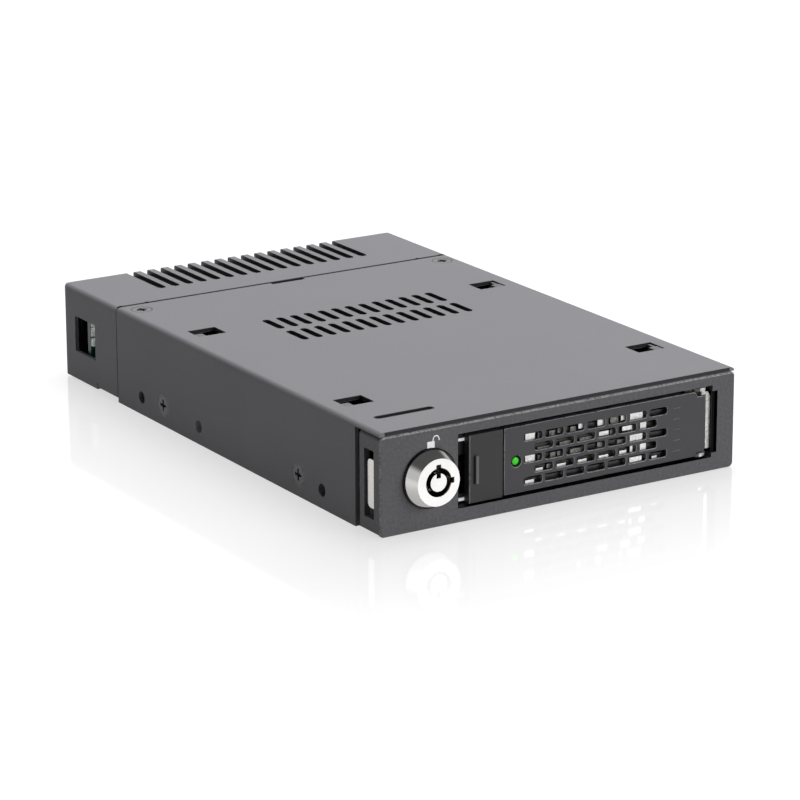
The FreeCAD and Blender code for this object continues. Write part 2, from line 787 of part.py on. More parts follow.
def make_top_cover():
    """Folded sheet: roof with vents, lances and a front lap, and two sides."""
    body = new_body("TopCoverBody")
    roof = (-HALF_WIDTH, HALF_WIDTH, S["cover_lap"], S["case_length"])
    add_box(body, "CoverRoof", "Z", ROOF, S["sheet"], roof)
    side = (S["side_start"], S["case_length"], 0, S["case_height"])
    add_box(body, "CoverLeft", "X", -HALF_WIDTH, S["sheet"], side)
    add_box(body, "CoverRight", "X", INNER_SIDE, S["sheet"], side)
    top = S["case_height"].value
    edge = HALF_WIDTH.value
    round_edges(
        body, "CoverBends", ALONG_Y, S["cover_bend"],
        lambda spot: abs(spot.z - top) < NEAR and abs(abs(spot.x) - edge) < NEAR,
    )
    half = S["vent_width"] / 2
    across = -S["vent_pitch"] * (VENT_COUNT - 1) / 2
    for name, start in (("VentFront", S["vent_front"]), ("VentBack", S["vent_back"])):
        sketch = new_sketch(body, "Z", ROOF - PAST, name)
        ends = ((across, start + half), (across, start + S["vent_length"] - half))
        draw_slot(sketch, *ends, S["vent_width"])
        opening = pocket(body, sketch, "Z", THROUGH_SHEET)
        repeat(body, [opening], name + "Row", VENT_COUNT, S["vent_pitch"])
    outer = HALF_WIDTH - S["lance_inset"]
    sketch = new_sketch(body, "Z", ROOF - PAST, "LanceWindows")
    for start in (S["lance_front"], S["lance_back"]):
        for sense in (-1, 1):
            ends = ordered(outer * sense, (outer - S["lance_width"]) * sense)
            draw_box(sketch, *ends, start, start + S["lance_length"])
    pocket(body, sketch, "Z", THROUGH_SHEET)
    sketch = new_sketch(body, "Z", ROOF - S["lance_depth"], "LanceTabs")
    for start in (S["lance_front"], S["lance_back"]):
        for sense in (-1, 1):
            ends = ordered(outer * sense, (outer - S["lance_tab"]) * sense)
            draw_box(sketch, *ends, start, start + S["lance_length"])
    pad(body, sketch, "Z", S["lance_depth"] + S["sheet"] / 2)
    sketch = new_sketch(body, "Z", ROOF - PAST, "FrontSlit")
    slit_left = -HALF_WIDTH + S["slit_inset"]
    ends = ((slit_left, S["slit_back"]), (slit_left + S["slit_length"], S["slit_back"]))
    draw_slot(sketch, *ends, S["slit_width"])
    pocket(body, sketch, "Z", THROUGH_SHEET)
    half_key = S["key_slot_width"] / 2
    notch = (-half_key, half_key, S["case_length"] - S["key_slot_length"], S["case_length"] + PAST)
    cut_box(body, "CoverKeySlot", "Z", ROOF - PAST, THROUGH_SHEET, notch)
    tools = []
    for name, level in (("Left", -HALF_WIDTH), ("Right", INNER_SIDE)):
        sketch = new_sketch(body, "X", level - PAST, "BayHoles" + name)
        for back in BAY_HOLES:
            draw_circle(sketch, back, S["bay_hole_height"], S["bay_hole"])
        pocket(body, sketch, "X", THROUGH_SHEET)
        tools += side_screw_holes("CoverHole" + name, level)
    for back in SIDE_SCREWS:
        for name, across, sense in (("SinkLeft", -HALF_WIDTH, 1), ("SinkRight", HALF_WIDTH, -1)):
            spot = (across, back, S["side_screw_height"])
            tools.append(screw_head(name, "X", spot, sense, HEAD_WIDE, SCREW_HOLE, HEAD_DEPTH))
    for across in (-HOOD_SCREW_ACROSS, HOOD_SCREW_ACROSS):
        spot = (across, HOOD_SCREW_BACK, S["case_height"])
        tools.append(screw_head("SinkTop", "Z", spot, -1, HEAD_WIDE, SCREW_HOLE, HEAD_DEPTH))
        foot = (across, HOOD_SCREW_BACK, ROOF - PAST)
        tools.append(flat_bar("TopHole", "Z", foot, SCREW_HOLE, THROUGH_SHEET))
    keep(cut("TopCover", body, tools), "top_cover")


def make_bottom_plate():
    """Folded floor with two inner flanges, a narrow tail and two upright board tabs."""
    body = new_body("BottomPlateBody")
    front = S["bezel_lip"] + S["sheet_fit"]
    floor = (-FLANGE_OUT, FLANGE_OUT, front, S["case_length"])
    add_box(body, "Floor", "Z", 0, S["sheet"], floor)
    tail = FLANGE_OUT - S["tail_inset"]
    tail_back = HOOD_BACK - S["sheet"] - S["sheet_fit"]
    add_box(body, "Tail", "Z", 0, S["sheet"], (-tail, tail, S["case_length"] - PAST, tail_back))
    flange = (S["flange_start"], S["case_length"] - S["sheet"], 0, S["flange_height"])
    add_box(body, "FlangeLeft", "X", -FLANGE_OUT, S["sheet"], flange)
    add_box(body, "FlangeRight", "X", FLANGE_IN, S["sheet"], flange)
    sketch = new_sketch(body, "Y", REAR_BOARD_BACK + S["seat_gap"], "BoardTabs")
    half = S["rear_tab_width"] / 2
    for middle in REAR_TABS:
        draw_box(sketch, middle - half, middle + half, 0, S["rear_tab_height"])
    pad(body, sketch, "Y", S["sheet"])
    tools = []
    for name, level in (("Left", -FLANGE_OUT), ("Right", FLANGE_IN)):
        tools += side_screw_holes("FlangeHole" + name, level)
        for back in BAY_HOLES:
            spot = (level - PAST, back, S["bay_hole_height"])
            tools.append(flat_bar("BayHole" + name, "X", spot, S["bay_hole"] / FLAT_SHARE, THROUGH_SHEET))
    for middle in REAR_TABS:
        spot = (middle, REAR_BOARD_BACK - PAST, S["rear_tab_hole"])
        tools.append(flat_bar("TabHole", "Y", spot, SCREW_HOLE, THROUGH_SHEET))
    for across in GUIDE_SCREW_LINES:
        for back in GUIDE_SCREWS:
            spot = (across, back, 0)
            tools.append(screw_head("SinkFloor", "Z", spot, 1, HEAD_WIDE, SCREW_HOLE, HEAD_DEPTH))
            tools.append(flat_bar("FloorHole", "Z", spot, SCREW_HOLE, S["sheet"] + PAST))
    keep(cut("BottomPlate", body, tools), "bottom_plate")


def make_rear_hood():
    """Slotted cap behind the cover, with tongues that slip under the cover's roof."""
    body = new_body("RearHoodBody")
    shell = (-HALF_WIDTH, HALF_WIDTH, S["hood_foot"], S["case_height"])
    add_box(body, "HoodShell", "Y", HOOD_FRONT, HOOD_BACK - HOOD_FRONT, shell)
    edge = HALF_WIDTH.value
    top = S["case_height"].value
    rear = HOOD_BACK.value
    round_edges(
        body, "HoodRearBend", ALONG_X, S["hood_bend"],
        lambda spot: abs(spot.z - top) < NEAR and abs(spot.y - rear) < NEAR,
    )
    round_edges(
        body, "HoodSideBends", ALONG_Y, S["cover_bend"],
        lambda spot: abs(spot.z - top) < NEAR and abs(abs(spot.x) - edge) < NEAR,
    )
    inside = (-INNER_SIDE, INNER_SIDE, S["hood_foot"] - PAST, ROOF)
    depth = HOOD_BACK - HOOD_FRONT - S["sheet"] + PAST
    cut_box(body, "HoodInside", "Y", HOOD_FRONT - PAST, depth, inside)
    left = -HALF_WIDTH - PAST
    through = S["case_width"] + 2 * PAST
    low = S["hood_foot"] - PAST
    arch_back = HOOD_FRONT + S["hood_arch_length"]
    cut_box(body, "HoodArch", "X", left, through, (HOOD_FRONT - PAST, arch_back, low, S["hood_arch"]))
    relief = (arch_back - S["hood_relief"], arch_back, low, S["hood_relief_high"])
    cut_box(body, "HoodRelief", "X", left, through, relief)
    window_front = HOOD_FRONT + S["window_lead"]
    window = (window_front, window_front + S["window_length"], S["window_low"], S["window_high"])
    cut_box(body, "HoodWindow", "X", left, through, window)
    half = S["hood_slot_width"] / 2
    across = -S["hood_slot_pitch"] * (HOOD_SLOT_COUNT - 1) / 2
    sketch = new_sketch(body, "Z", ROOF - PAST, "HoodSlotTop")
    start = (across, HOOD_BACK - S["hood_slot_length"] + half)
    draw_slot(sketch, start, (across, HOOD_BACK + half), S["hood_slot_width"])
    on_top = pocket(body, sketch, "Z", THROUGH_SHEET)
    slot_low = S["case_height"] - S["hood_slot_drop"]
    sides = (across - half, across + half, slot_low, S["case_height"] + PAST)
    at_rear = cut_box(body, "HoodSlotRear", "Y", HOOD_BACK - S["sheet"] - PAST, THROUGH_SHEET, sides)
    repeat(body, [on_top, at_rear], "HoodSlots", HOOD_SLOT_COUNT, S["hood_slot_pitch"])
    sketch = new_sketch(body, "Y", HOOD_BACK - S["sheet"] - PAST, "PortHoles")
    for centre, width, high in PORTS:
        room = width / 2 + S["port_lip"]
        low = S["port_height"] - high / 2 - S["port_lip"]
        draw_box(sketch, centre - room, centre + room, low, low + high + S["port_lip"] * 2)
    pocket(body, sketch, "Y", THROUGH_SHEET)
    outer = HALF_WIDTH - S["tongue_inset"]
    inner = outer - S["tongue_width"]
    sketch = new_sketch(body, "Z", ROOF - PAST, "TongueReliefs")
    relief_back = HOOD_FRONT + S["tongue_relief"]
    for side in (-1, 1):
        ends = ordered(inner * side, (inner - S["tongue_relief"]) * side)
        draw_box(sketch, *ends, HOOD_FRONT - PAST, relief_back)
        ends = ordered(outer * side, (outer - S["tongue_relief"]) * side)
        draw_box(sketch, *ends, HOOD_FRONT - PAST, relief_back)
    pocket(body, sketch, "Z", THROUGH_SHEET)
    tongue_low = ROOF - S["sheet"] - S["seat_gap"]
    root_back = HOOD_FRONT + S["sheet"] * 2
    for name, left, right in (("TongueLeft", -outer, -inner), ("TongueRight", inner, outer)):
        root = (left + S["tongue_relief"], right - S["tongue_relief"], HOOD_FRONT, root_back)
        add_box(body, name + "Root", "Z", tongue_low, S["sheet"] * 1.5, root)
        tongue = (left, right, HOOD_FRONT - S["tongue_length"], root_back)
        add_box(body, name, "Z", tongue_low, S["sheet"], tongue)
    tools = []
    for across in (-HOOD_SCREW_ACROSS, HOOD_SCREW_ACROSS):
        spot = (across, HOOD_SCREW_BACK, tongue_low - PAST)
        tools.append(flat_bar("TongueHole", "Z", spot, SCREW_HOLE, THROUGH_SHEET))
    keep(cut("RearHood", body, tools), "rear_hood")


def make_front_bezel():
    """Moulded frame round the tray's bay, hollow behind the lock, with slots for clip and hook."""
    body = new_body("FrontBezelBody")
    block_front = (-HALF_WIDTH, HALF_WIDTH, 0, BEZEL_HIGH)
    add_box(body, "BezelBlock", "Y", 0, S["bezel_depth"], block_front)
    edge = HALF_WIDTH.value
    high = BEZEL_HIGH.value
    round_edges(
        body, "BezelCorners", ALONG_Y, S["bezel_corner"],
        lambda spot: abs(abs(spot.x) - edge) < NEAR and (abs(spot.z) < NEAR or abs(spot.z - high) < NEAR),
    )
    round_edges(
        body, "BezelTopEdge", ALONG_X, S["bezel_edge"],
        lambda spot: abs(spot.y) < NEAR and abs(spot.z - high) < NEAR, "Chamfer",
    )
    behind = (-HALF_WIDTH - PAST, HALF_WIDTH + PAST, -PAST, BEZEL_LOW)
    lip_back = S["bezel_lip"]
    cut_box(body, "BezelFloorRoom", "Y", lip_back, S["bezel_depth"] + PAST - lip_back, behind)
    bay = (BAY_LEFT, BAY_RIGHT, S["bay_low"], BAY_HIGH)
    cut_box(body, "BezelBay", "Y", -PAST, S["bezel_depth"] + 2 * PAST, bay)
    slot_right = BAY_RIGHT + S["hook_slot_reach"]
    slot = (BAY_RIGHT + S["hook_web"], slot_right, HOOK_SLOT_LOW, HOOK_SLOT_HIGH)
    cut_box(body, "BezelHookSlot", "Y", -PAST, S["hook_slot_back"] + PAST, slot)
    path = (BAY_RIGHT - PAST, slot_right, HOOK_SLOT_LOW, HOOK_SLOT_HIGH)
    cut_box(body, "BezelHookPath", "Y", S["hook_web"], S["hook_slot_back"] - S["hook_web"], path)
    depth = S["bezel_depth"] - S["bezel_face"] + PAST
    room_low = BEZEL_LOW + S["bezel_wall"]
    room_high = BEZEL_HIGH - S["bezel_wall"]
    room = (-HALF_WIDTH + S["bezel_wall"], BAY_LEFT - S["bezel_wall"], room_low, room_high)
    cut_box(body, "BezelLockRoom", "Y", S["bezel_face"], depth, room)
    spare = (slot_right + S["bezel_wall"], HALF_WIDTH - S["bezel_wall"], room_low, room_high)
    cut_box(body, "BezelRightRoom", "Y", S["bezel_face"], depth, spare)
    half = S["clip_slot_height"] / 2
    slot_back = CLIP_FRONT + S["clip_flange"] + S["clip_slot_room"]
    slot = (S["bezel_face"], slot_back, CLIP_MIDDLE - half, CLIP_MIDDLE + half)
    cut_box(body, "BezelClipSlot", "X", -HALF_WIDTH - PAST, S["bezel_wall"] + 2 * PAST, slot)
    sketch = new_sketch(body, "Y", -PAST, "BezelLockHole")
    draw_circle(sketch, LOCK_ACROSS, S["lock_height"], S["barrel"] + S["core_fit"] * 2)
    pocket(body, sketch, "Y", S["bezel_face"] + 2 * PAST)
    keep(body, "front_bezel")


def make_lock_housing():
    """Turned housing with a flared collar, a keyed bore and a groove for its clip."""
    up = S["lock_height"]
    face = -S["lock_stand"]
    root = -S["lock_base_thick"]
    flare = (LOCK_ACROSS, face, up)
    collar = round_taper("LockCollar", "Y", flare, S["lock_face"], S["lock_shoulder"], root - face)
    base = round_bar("LockBase", "Y", (LOCK_ACROSS, root, up), S["lock_base"], S["lock_base_thick"])
    barrel = round_bar("LockBarrel", "Y", (LOCK_ACROSS, 0, up), S["barrel"], S["barrel_length"])
    ahead = face - PAST
    length = S["barrel_length"] - face + 2 * PAST
    bore = round_bar("LockBore", "Y", (LOCK_ACROSS, ahead, up), S["core_bore"], length)
    groove_length = S["clip_thick"] + S["seat_gap"] * 2
    rim = (LOCK_ACROSS, S["bezel_face"], up)
    ring = round_bar("GrooveOuter", "Y", rim, S["barrel"] + PAST, groove_length)
    rim = (LOCK_ACROSS, S["bezel_face"] - PAST, up)
    waist = round_bar("GrooveInner", "Y", rim, S["barrel_groove"], groove_length + 2 * PAST)
    half = S["key_notch"] / 2
    reach = S["core_bore"] / 2 + S["key_notch_reach"]
    floor = face + S["key_notch_depth"]
    sides = (LOCK_ACROSS - half, LOCK_ACROSS + half, ahead, floor)
    top_notch = block("KeyNotchTop", *sides, up, up + reach)
    sides = (LOCK_ACROSS, LOCK_ACROSS + reach, ahead, floor)
    side_notch = block("KeyNotchSide", *sides, up - half, up + half)
    tools = [bore, cut("ClipGroove", ring, [waist]), top_notch, side_notch]
    keep(cut("LockHousing", join("LockSleeve", [collar, base, barrel]), tools), "lock_housing")


def make_lock_core():
    """Turning core: a marked post in the key's ring, a drum and a square tail for the cam."""
    up = S["lock_height"]
    face = S["core_fit"] - S["lock_stand"]
    floor = S["key_depth"] - S["lock_stand"]
    drum_width = S["core_bore"] - S["core_fit"] * 2
    post = round_bar("CorePost", "Y", (LOCK_ACROSS, face, up), S["core_post"], S["key_depth"])
    drum = round_bar("CoreDrum", "Y", (LOCK_ACROSS, floor, up), drum_width, S["barrel_length"] - floor)
    half = S["core_tail"] / 2
    tail = block(
        "CoreTail", LOCK_ACROSS - half, LOCK_ACROSS + half,
        S["barrel_length"] - PAST, CAM_BACK - S["seat_gap"], up - half, up + half,
    )
    thread = flat_bar("CoreThread", "Y", (LOCK_ACROSS, CAM_BACK - S["cam_screw_length"], up),
                      S["cam_screw"], S["cam_screw_length"] + PAST)
    half = S["core_mark"] / 2
    mark = block(
        "CoreMark", LOCK_ACROSS - half, LOCK_ACROSS + half, face - PAST, face + S["core_mark"],
        up + S["core_post"] / 2 - S["core_mark"], up + S["core_post"],
    )
    keep(cut("LockCore", join("CoreSolid", [post, drum, tail]), [thread, mark]), "lock_core")

    body = new_body("LockCamBody")
    sketch = new_sketch(body, "Y", CAM_FRONT, "CamOutline")
    bend = S["cam_width"] / 2
    ends = ((LOCK_ACROSS, up), (LOCK_ACROSS, up + S["cam_reach"] - bend))
    draw_slot(sketch, *ends, S["cam_width"], CAM_FLATS)
    pad(body, sketch, "Y", S["cam_thick"])
    hole = S["core_tail"] / 2 + S["core_fit"]
    square = (LOCK_ACROSS - hole, LOCK_ACROSS + hole, up - hole, up + hole)
    cut_box(body, "CamSquare", "Y", CAM_FRONT - PAST, S["cam_thick"] + 2 * PAST, square)
    keep(body, "lock_cam")

    spot = (LOCK_ACROSS, CAM_BACK + S["seat_gap"], up)
    length = S["cam_screw_length"] - S["cam_gap"]
    screw = pan_screw("CamScrewSolid", spot, -1, S["cam_screw"] - S["core_fit"] * 2, length)
    half = S["cam_screw_slot"] / 2
    reach = S["pan_head"]
    driver = block(
        "CamScrewSlot", LOCK_ACROSS - reach, LOCK_ACROSS + reach,
        CAM_SCREW_BACK - S["cam_screw_slot"], CAM_SCREW_BACK + PAST, up - half, up + half,
    )
    keep(cut("LockCamScrew", screw, [driver]), "lock_cam_screw")


def make_lock_clip():
    """Spring plate that slides in from the side and grips the housing's groove."""
    body = new_body("LockClipBody")
    up = S["lock_height"]
    left = -HALF_WIDTH + S["clip_inset"]
    grip = S["barrel_groove"] / 2 + S["seat_gap"]
    right = LOCK_ACROSS + grip
    half = S["clip_height"] / 2
    low = CLIP_MIDDLE - half
    high = CLIP_MIDDLE + half
    add_box(body, "ClipPlate", "Y", CLIP_FRONT, S["clip_thick"], (left, right, low, high))
    flange = (left, left + S["clip_thick"], low, high)
    add_box(body, "ClipFlange", "Y", CLIP_FRONT, S["clip_flange"], flange)
    far = (CLIP_FRONT + S["clip_flange"]).value
    round_edges(body, "ClipCorners", ALONG_X, S["bezel_corner"], lambda spot: abs(spot.y - far) < NEAR)
    sketch = new_sketch(body, "Y", CLIP_FRONT - PAST, "ClipMouth")
    draw_circle(sketch, LOCK_ACROSS, up, grip * 2)
    pocket(body, sketch, "Y", S["clip_thick"] + 2 * PAST)
    mouth = (LOCK_ACROSS, right + PAST, up - grip, up + grip)
    cut_box(body, "ClipEntry", "Y", CLIP_FRONT - PAST, S["clip_thick"] + 2 * PAST, mouth)
    keep(body, "lock_clip")


def make_guide(label, name, face, sense, screw_line, board_screw):
    """A rail on the floor that carries one of the tray's edges and a side of the drive board."""
    body = new_body(name + "Body")
    low = S["sheet"]
    high = TRAY_HIGH - S["guide_drop"]
    outer = face + S["guide_wall"] * sense
    foot = face + S["guide_foot"] * sense
    foot_high = low + S["guide_foot_thick"]
    ledge = face - S["guide_ledge"] * sense
    profile = [
        (ledge, low), (foot, low), (foot, foot_high), (outer, foot_high),
        (outer, high), (face, high), (face, GUIDE_STEP), (ledge, GUIDE_STEP),
    ]
    sketch = new_sketch(body, "Y", GUIDE_FRONT, name + "Profile")
    draw_outline(sketch, profile)
    pad(body, sketch, "Y", GUIDE_BACK - GUIDE_FRONT)
    half = S["boss_width"] / 2
    sides = ordered(face, face + S["boss_width"] * sense)
    boss = (*sides, S["boss_height"] - half, S["boss_height"] + half)
    add_box(body, name + "Boss", "Y", GUIDE_BACK - S["boss_length"], S["boss_length"], boss)
    spot = (board_screw, GUIDE_BACK - S["screw_length"] - PAST, S["boss_height"])
    tools = [flat_bar("BossThread", "Y", spot, SCREW_HOLE, S["screw_length"] + 2 * PAST)]
    for back in GUIDE_SCREWS:
        tools.append(flat_bar("RailThread", "Z", (screw_line, back, 0), SCREW_HOLE, TRAY_LOW))
    keep(cut(name, body, tools), label)


def make_guides():
    make_guide("left_guide", "LeftGuide", GUIDE_LEFT, -1, GUIDE_SCREW_LINES[0], BOARD_SCREWS[0])
    make_guide("right_guide", "RightGuide", GUIDE_RIGHT, 1, GUIDE_SCREW_LINES[1], BOARD_SCREWS[1])


def make_fasteners():
    sunk = S["screw_fit"] / 2
    side = []
    places = (("SideScrewLeft", sunk - HALF_WIDTH, 1), ("SideScrewRight", HALF_WIDTH - sunk, -1))
    for back in SIDE_SCREWS:
        for name, across, sense in places:
            spot = (across, back, S["side_screw_height"])
            side.append(flat_screw(name, "X", spot, sense, S["screw_length"]))
    keep(group("SideScrews", side), "side_screws")
    top = []
    for across in (-HOOD_SCREW_ACROSS, HOOD_SCREW_ACROSS):
        spot = (across, HOOD_SCREW_BACK, S["case_height"] - sunk)
        top.append(flat_screw("HoodScrew", "Z", spot, -1, S["screw_length"]))
    keep(group("HoodScrews", top), "hood_screws")
    rails = []
    for across in GUIDE_SCREW_LINES:
        for back in GUIDE_SCREWS:
            length = GUIDE_STEP - sunk * 2
            rails.append(flat_screw("GuideScrew", "Z", (across, back, sunk), 1, length))
    keep(group("GuideScrews", rails), "guide_screws")
    boards = []
    for across in BOARD_SCREWS:
        spot = (across, DRIVE_BOARD_BACK + S["seat_gap"], S["boss_height"])
        boards.append(pan_screw("DriveBoardScrew", spot, -1, S["screw_shank"], S["screw_length"]))
    for across in REAR_TABS:
        spot = (across, REAR_BOARD_FRONT - S["seat_gap"], S["rear_tab_hole"])
        boards.append(pan_screw("RearBoardScrew", spot, 1, S["screw_shank"], S["screw_length"]))
    keep(group("BoardScrews", boards), "board_screws")
    inserts = []
    for back in BAY_HOLES:
        for name, start in (("InsertLeft", -FLANGE_IN), ("InsertRight", FLANGE_IN - S["insert_length"])):
            spot = (start, back, S["bay_hole_height"])
            nut = flat_bar(name + "Solid", "X", spot, S["insert_width"], S["insert_length"])
            ahead = shifted("X", spot, -PAST)
            thread = flat_bar(name + "Thread", "X", ahead, S["insert_thread"], S["insert_length"] + 2 * PAST)
            inserts.append(cut(name, nut, [thread]))
    keep(group("ThreadInserts", inserts), "thread_inserts")


def make_tray_frame():
    """Folded tray: floor with a window, two walls, drive holes and the notch for the lock's cam."""
    body = new_body("TrayFrameBody")
    hinge_clear = HINGE_BACK + S["piece_gap"]
    floor = (TRAY_LEFT, TRAY_RIGHT, hinge_clear, TRAY_END)
    add_box(body, "TrayFloor", "Z", TRAY_LOW, S["tray_wall"], floor)
    lip = (TRAY_LEFT, HINGE_LEFT - S["piece_gap"], BLOCK_FRONT, HINGE_BACK + PAST)
    add_box(body, "TrayLip", "Z", TRAY_LOW, S["tray_wall"], lip)
    wall = (TRAY_NOSE, TRAY_END, TRAY_LOW, TRAY_HIGH)
    add_box(body, "TrayLeft", "X", TRAY_LEFT, S["tray_wall"], wall)
    wall = (hinge_clear, TRAY_END, TRAY_LOW, TRAY_HIGH)
    add_box(body, "TrayRight", "X", TRAY_RIGHT - S["tray_wall"], S["tray_wall"], wall)
    across = TRAY_LEFT - PAST
    through = S["tray_wall"] + 2 * PAST
    gap = (TRAY_NOSE - PAST, S["nose_gap_back"], TRAY_LOW + S["nose_tab"], TRAY_HIGH - S["nose_tab"])
    cut_box(body, "TrayNoseGap", "X", across, through, gap)
    notch_low = S["lock_height"] - S["cam_width"] / 2 - S["notch_margin"]
    notch = (CAM_FRONT - S["notch_margin"], CAM_BACK + S["notch_margin"], notch_low, TRAY_HIGH + PAST)
    cut_box(body, "TrayLockNotch", "X", across, through, notch)
    half = S["floor_window_width"] / 2
    middle = (DRIVE_START + DRIVE_BACK) / 2
    reach = S["floor_window_length"] / 2
    window = (TRAY_MIDDLE - half, TRAY_MIDDLE + half, middle - reach, middle + reach)
    cut_box(body, "TrayWindow", "Z", TRAY_LOW - PAST, through, window)
    sketch = new_sketch(body, "Z", TRAY_LOW - PAST, "DriveHoles")
    inset = S["tray_wall"] + S["drive_hole_inset"]
    for lead in (S["drive_hole_back"], S["drive_hole_front"]):
        for across in (TRAY_LEFT + inset, TRAY_RIGHT - inset):
            draw_circle(sketch, across, DRIVE_BACK - lead, S["drive_hole"])
    pocket(body, sketch, "Z", through)
    tools = []
    wide = S["tray_screw_head"] + S["screw_fit"] * 2
    for name, face, sense in (("TrayLeft", TRAY_LEFT, 1), ("TrayRight", TRAY_RIGHT, -1)):
        spot = (face, *TRAY_SCREW_SPOT)
        tools.append(screw_head(name + "Sink", "X", spot, sense, wide, TRAY_SCREW_HOLE, TRAY_HEAD_DEPTH))
    for name, face in (("LeftHole", TRAY_LEFT), ("RightHole", TRAY_RIGHT - S["tray_wall"])):
        tools.append(flat_bar(name, "X", (face - PAST, *TRAY_SCREW_SPOT), TRAY_SCREW_HOLE, through))
    keep(cut("TrayFrame", body, tools), "tray_frame")


def make_tray_front():
    """Moulded block behind the door: open middle for air, button room, and the hinge's knuckle."""
    body = new_body("TrayFrontBody")
    ahead = BLOCK_FRONT - PAST
    outer = (BLOCK_LEFT, BLOCK_RIGHT, BLOCK_LOW, BLOCK_HIGH)
    add_box(body, "FrontBlock", "Y", BLOCK_FRONT, S["block_depth"], outer)
    air = (
        LIGHT_ACROSS + S["light_pipe"], BLOCK_RIGHT - S["block_right_post"],
        BLOCK_LOW + S["block_rail"], BLOCK_HIGH - S["block_rail"],
    )
    cut_box(body, "FrontAir", "Y", ahead, S["block_depth"] + 2 * PAST, air)
    corner = (HINGE_LEFT, BLOCK_RIGHT + PAST, ahead, HINGE_BACK)
    cut_box(body, "HingeCorner", "Z", BLOCK_LOW - PAST, BLOCK_HIGH - BLOCK_LOW + 2 * PAST, corner)
    room_low = NOSE_LOW - S["room_gap"]
    room_high = STEM_LOW + S["stem_height"] + S["room_gap"]
    room_right = LIGHT_ACROSS - S["light_pipe"] / 2 - S["room_gap"]
    room_back = S["stem_back"] + S["room_gap"]
    room = (SPRING_LEFT, room_right, room_low, room_high)
    cut_box(body, "ButtonRoom", "Y", ahead, room_back - ahead, room)
    keeper = (STEM_LEFT, KEEPER_RIGHT + S["door_gap"], room_low, NOSE_HIGH + S["door_gap"])
    cut_box(body, "KeeperRoom", "Y", ahead, NOSE_BACK + S["door_gap"] - ahead, keeper)
    knuckle_low = EAR_LOW + S["ear_thick"] + S["ear_gap"]
    knuckle_high = EAR_HIGH - S["ear_thick"] - S["ear_gap"]
    sketch = new_sketch(body, "Z", knuckle_low, "Knuckle")
    draw_circle(sketch, PIVOT_ACROSS, S["pivot_back"], S["knuckle"])
    pad(body, sketch, "Z", knuckle_high - knuckle_low)
    web = S["knuckle_web"] / 2
    web_box = (PIVOT_ACROSS - web, PIVOT_ACROSS + web, S["pivot_back"], HINGE_BACK + PAST)
    add_box(body, "KnuckleWeb", "Z", BLOCK_LOW, knuckle_high - BLOCK_LOW, web_box)
    middle = (knuckle_low + knuckle_high) / 2
    room = S["knuckle"] / 2 + PAST / 2
    spring = (
        PIVOT_ACROSS - room, PIVOT_ACROSS + room,
        S["pivot_back"] - room, S["pivot_back"] + S["knuckle"] / 2 + S["seat_gap"],
    )
    cut_box(body, "TorsionGap", "Z", middle - S["torsion_room"] / 2, S["torsion_room"], spring)
    sketch = new_sketch(body, "Z", BLOCK_LOW - PAST, "PinBore")
    draw_circle(sketch, PIVOT_ACROSS, S["pivot_back"], PIN_BORE)
    pocket(body, sketch, "Z", S["case_height"])
    bore = S["light_pipe"] + S["piece_gap"]
    spot = (LIGHT_ACROSS, ahead, ROW_MIDDLE)
    tools = [round_bar("LightBore", "Y", spot, bore, S["block_depth"] + 2 * PAST)]
    reach = S["tray_screw_length"] + PAST
    for name, face in (("ThreadLeft", TRAY_LEFT), ("ThreadRight", TRAY_RIGHT - reach)):
        tools.append(flat_bar(name, "X", (face, *TRAY_SCREW_SPOT), TRAY_SCREW_HOLE, reach))
    keep(cut("TrayFront", body, tools), "tray_front")

    spot = (LIGHT_ACROSS, LIGHT_FRONT, ROW_MIDDLE)
    keep(round_bar("LightPipe", "Y", spot, S["light_pipe"], BLOCK_BACK - LIGHT_FRONT), "light_pipe")
    spot = (PIVOT_ACROSS, S["pivot_back"], EAR_LOW)
    keep(round_bar("PivotPin", "Z", spot, S["pin"], EAR_HIGH - EAR_LOW), "pivot_pin")


def make_tray_screws():
    sunk = S["screw_fit"] / 2
    widths = (S["tray_screw_head"], S["tray_screw_shank"])
    screws = []
    places = (("TrayScrewLeft", TRAY_LEFT + sunk, 1), ("TrayScrewRight", TRAY_RIGHT - sunk, -1))
    for name, face, sense in places:
        spot = (face, *TRAY_SCREW_SPOT)
        head = screw_head(name + "Head", "X", spot, sense, *widths, TRAY_HEAD_DEPTH - S["screw_fit"])
        foot = spot if sense > 0 else shifted("X", spot, -S["tray_screw_length"])
        shank = flat_bar(name + "Shank", "X", foot, widths[1], S["tray_screw_length"])
        screws.append(join(name, [head, shank]))
    keep(group("TrayScrews", screws), "tray_screws")


def coil(name, axis, spot, width, wire, length):
    """A wire coil along an axis from a point, in facets so that it meshes lightly."""
    half_wire = wire.value / 2
    reach = width.value / 2 - half_wire
    steps = COIL_TURNS * COIL_STEPS
    rings = []
    for step in range(steps + 1):
        turn = 2 * math.pi * step / COIL_STEPS
        rise = length.value * step / steps
        ring = []
        for corner in range(COIL_SIDES):
            angle = 2 * math.pi * corner / COIL_SIDES
            out = reach + half_wire * math.cos(angle)
            level = rise + half_wire * math.sin(angle)
            ring.append(FreeCAD.Vector(out * math.cos(turn), out * math.sin(turn), level))
        rings.append(ring)
    faces = [Part.Face(Part.makePolygon(ring + ring[:1])) for ring in (rings[0], rings[-1])]
    for near, far in zip(rings, rings[1:]):
        for corner in range(COIL_SIDES):
            follower = (corner + 1) % COIL_SIDES
            quad = (near[corner], near[follower], far[follower], far[corner])
            for picks in ((0, 1, 2), (0, 2, 3)):
                points = [quad[pick] for pick in picks]
                faces.append(Part.Face(Part.makePolygon(points + points[:1])))
    solid = Part.Solid(Part.makeShell(faces))
    if solid.Volume < 0:
        solid.reverse()
    item = doc.addObject("Part::Feature", name)
    item.Shape = solid
    return turn_to(item, axis, spot)


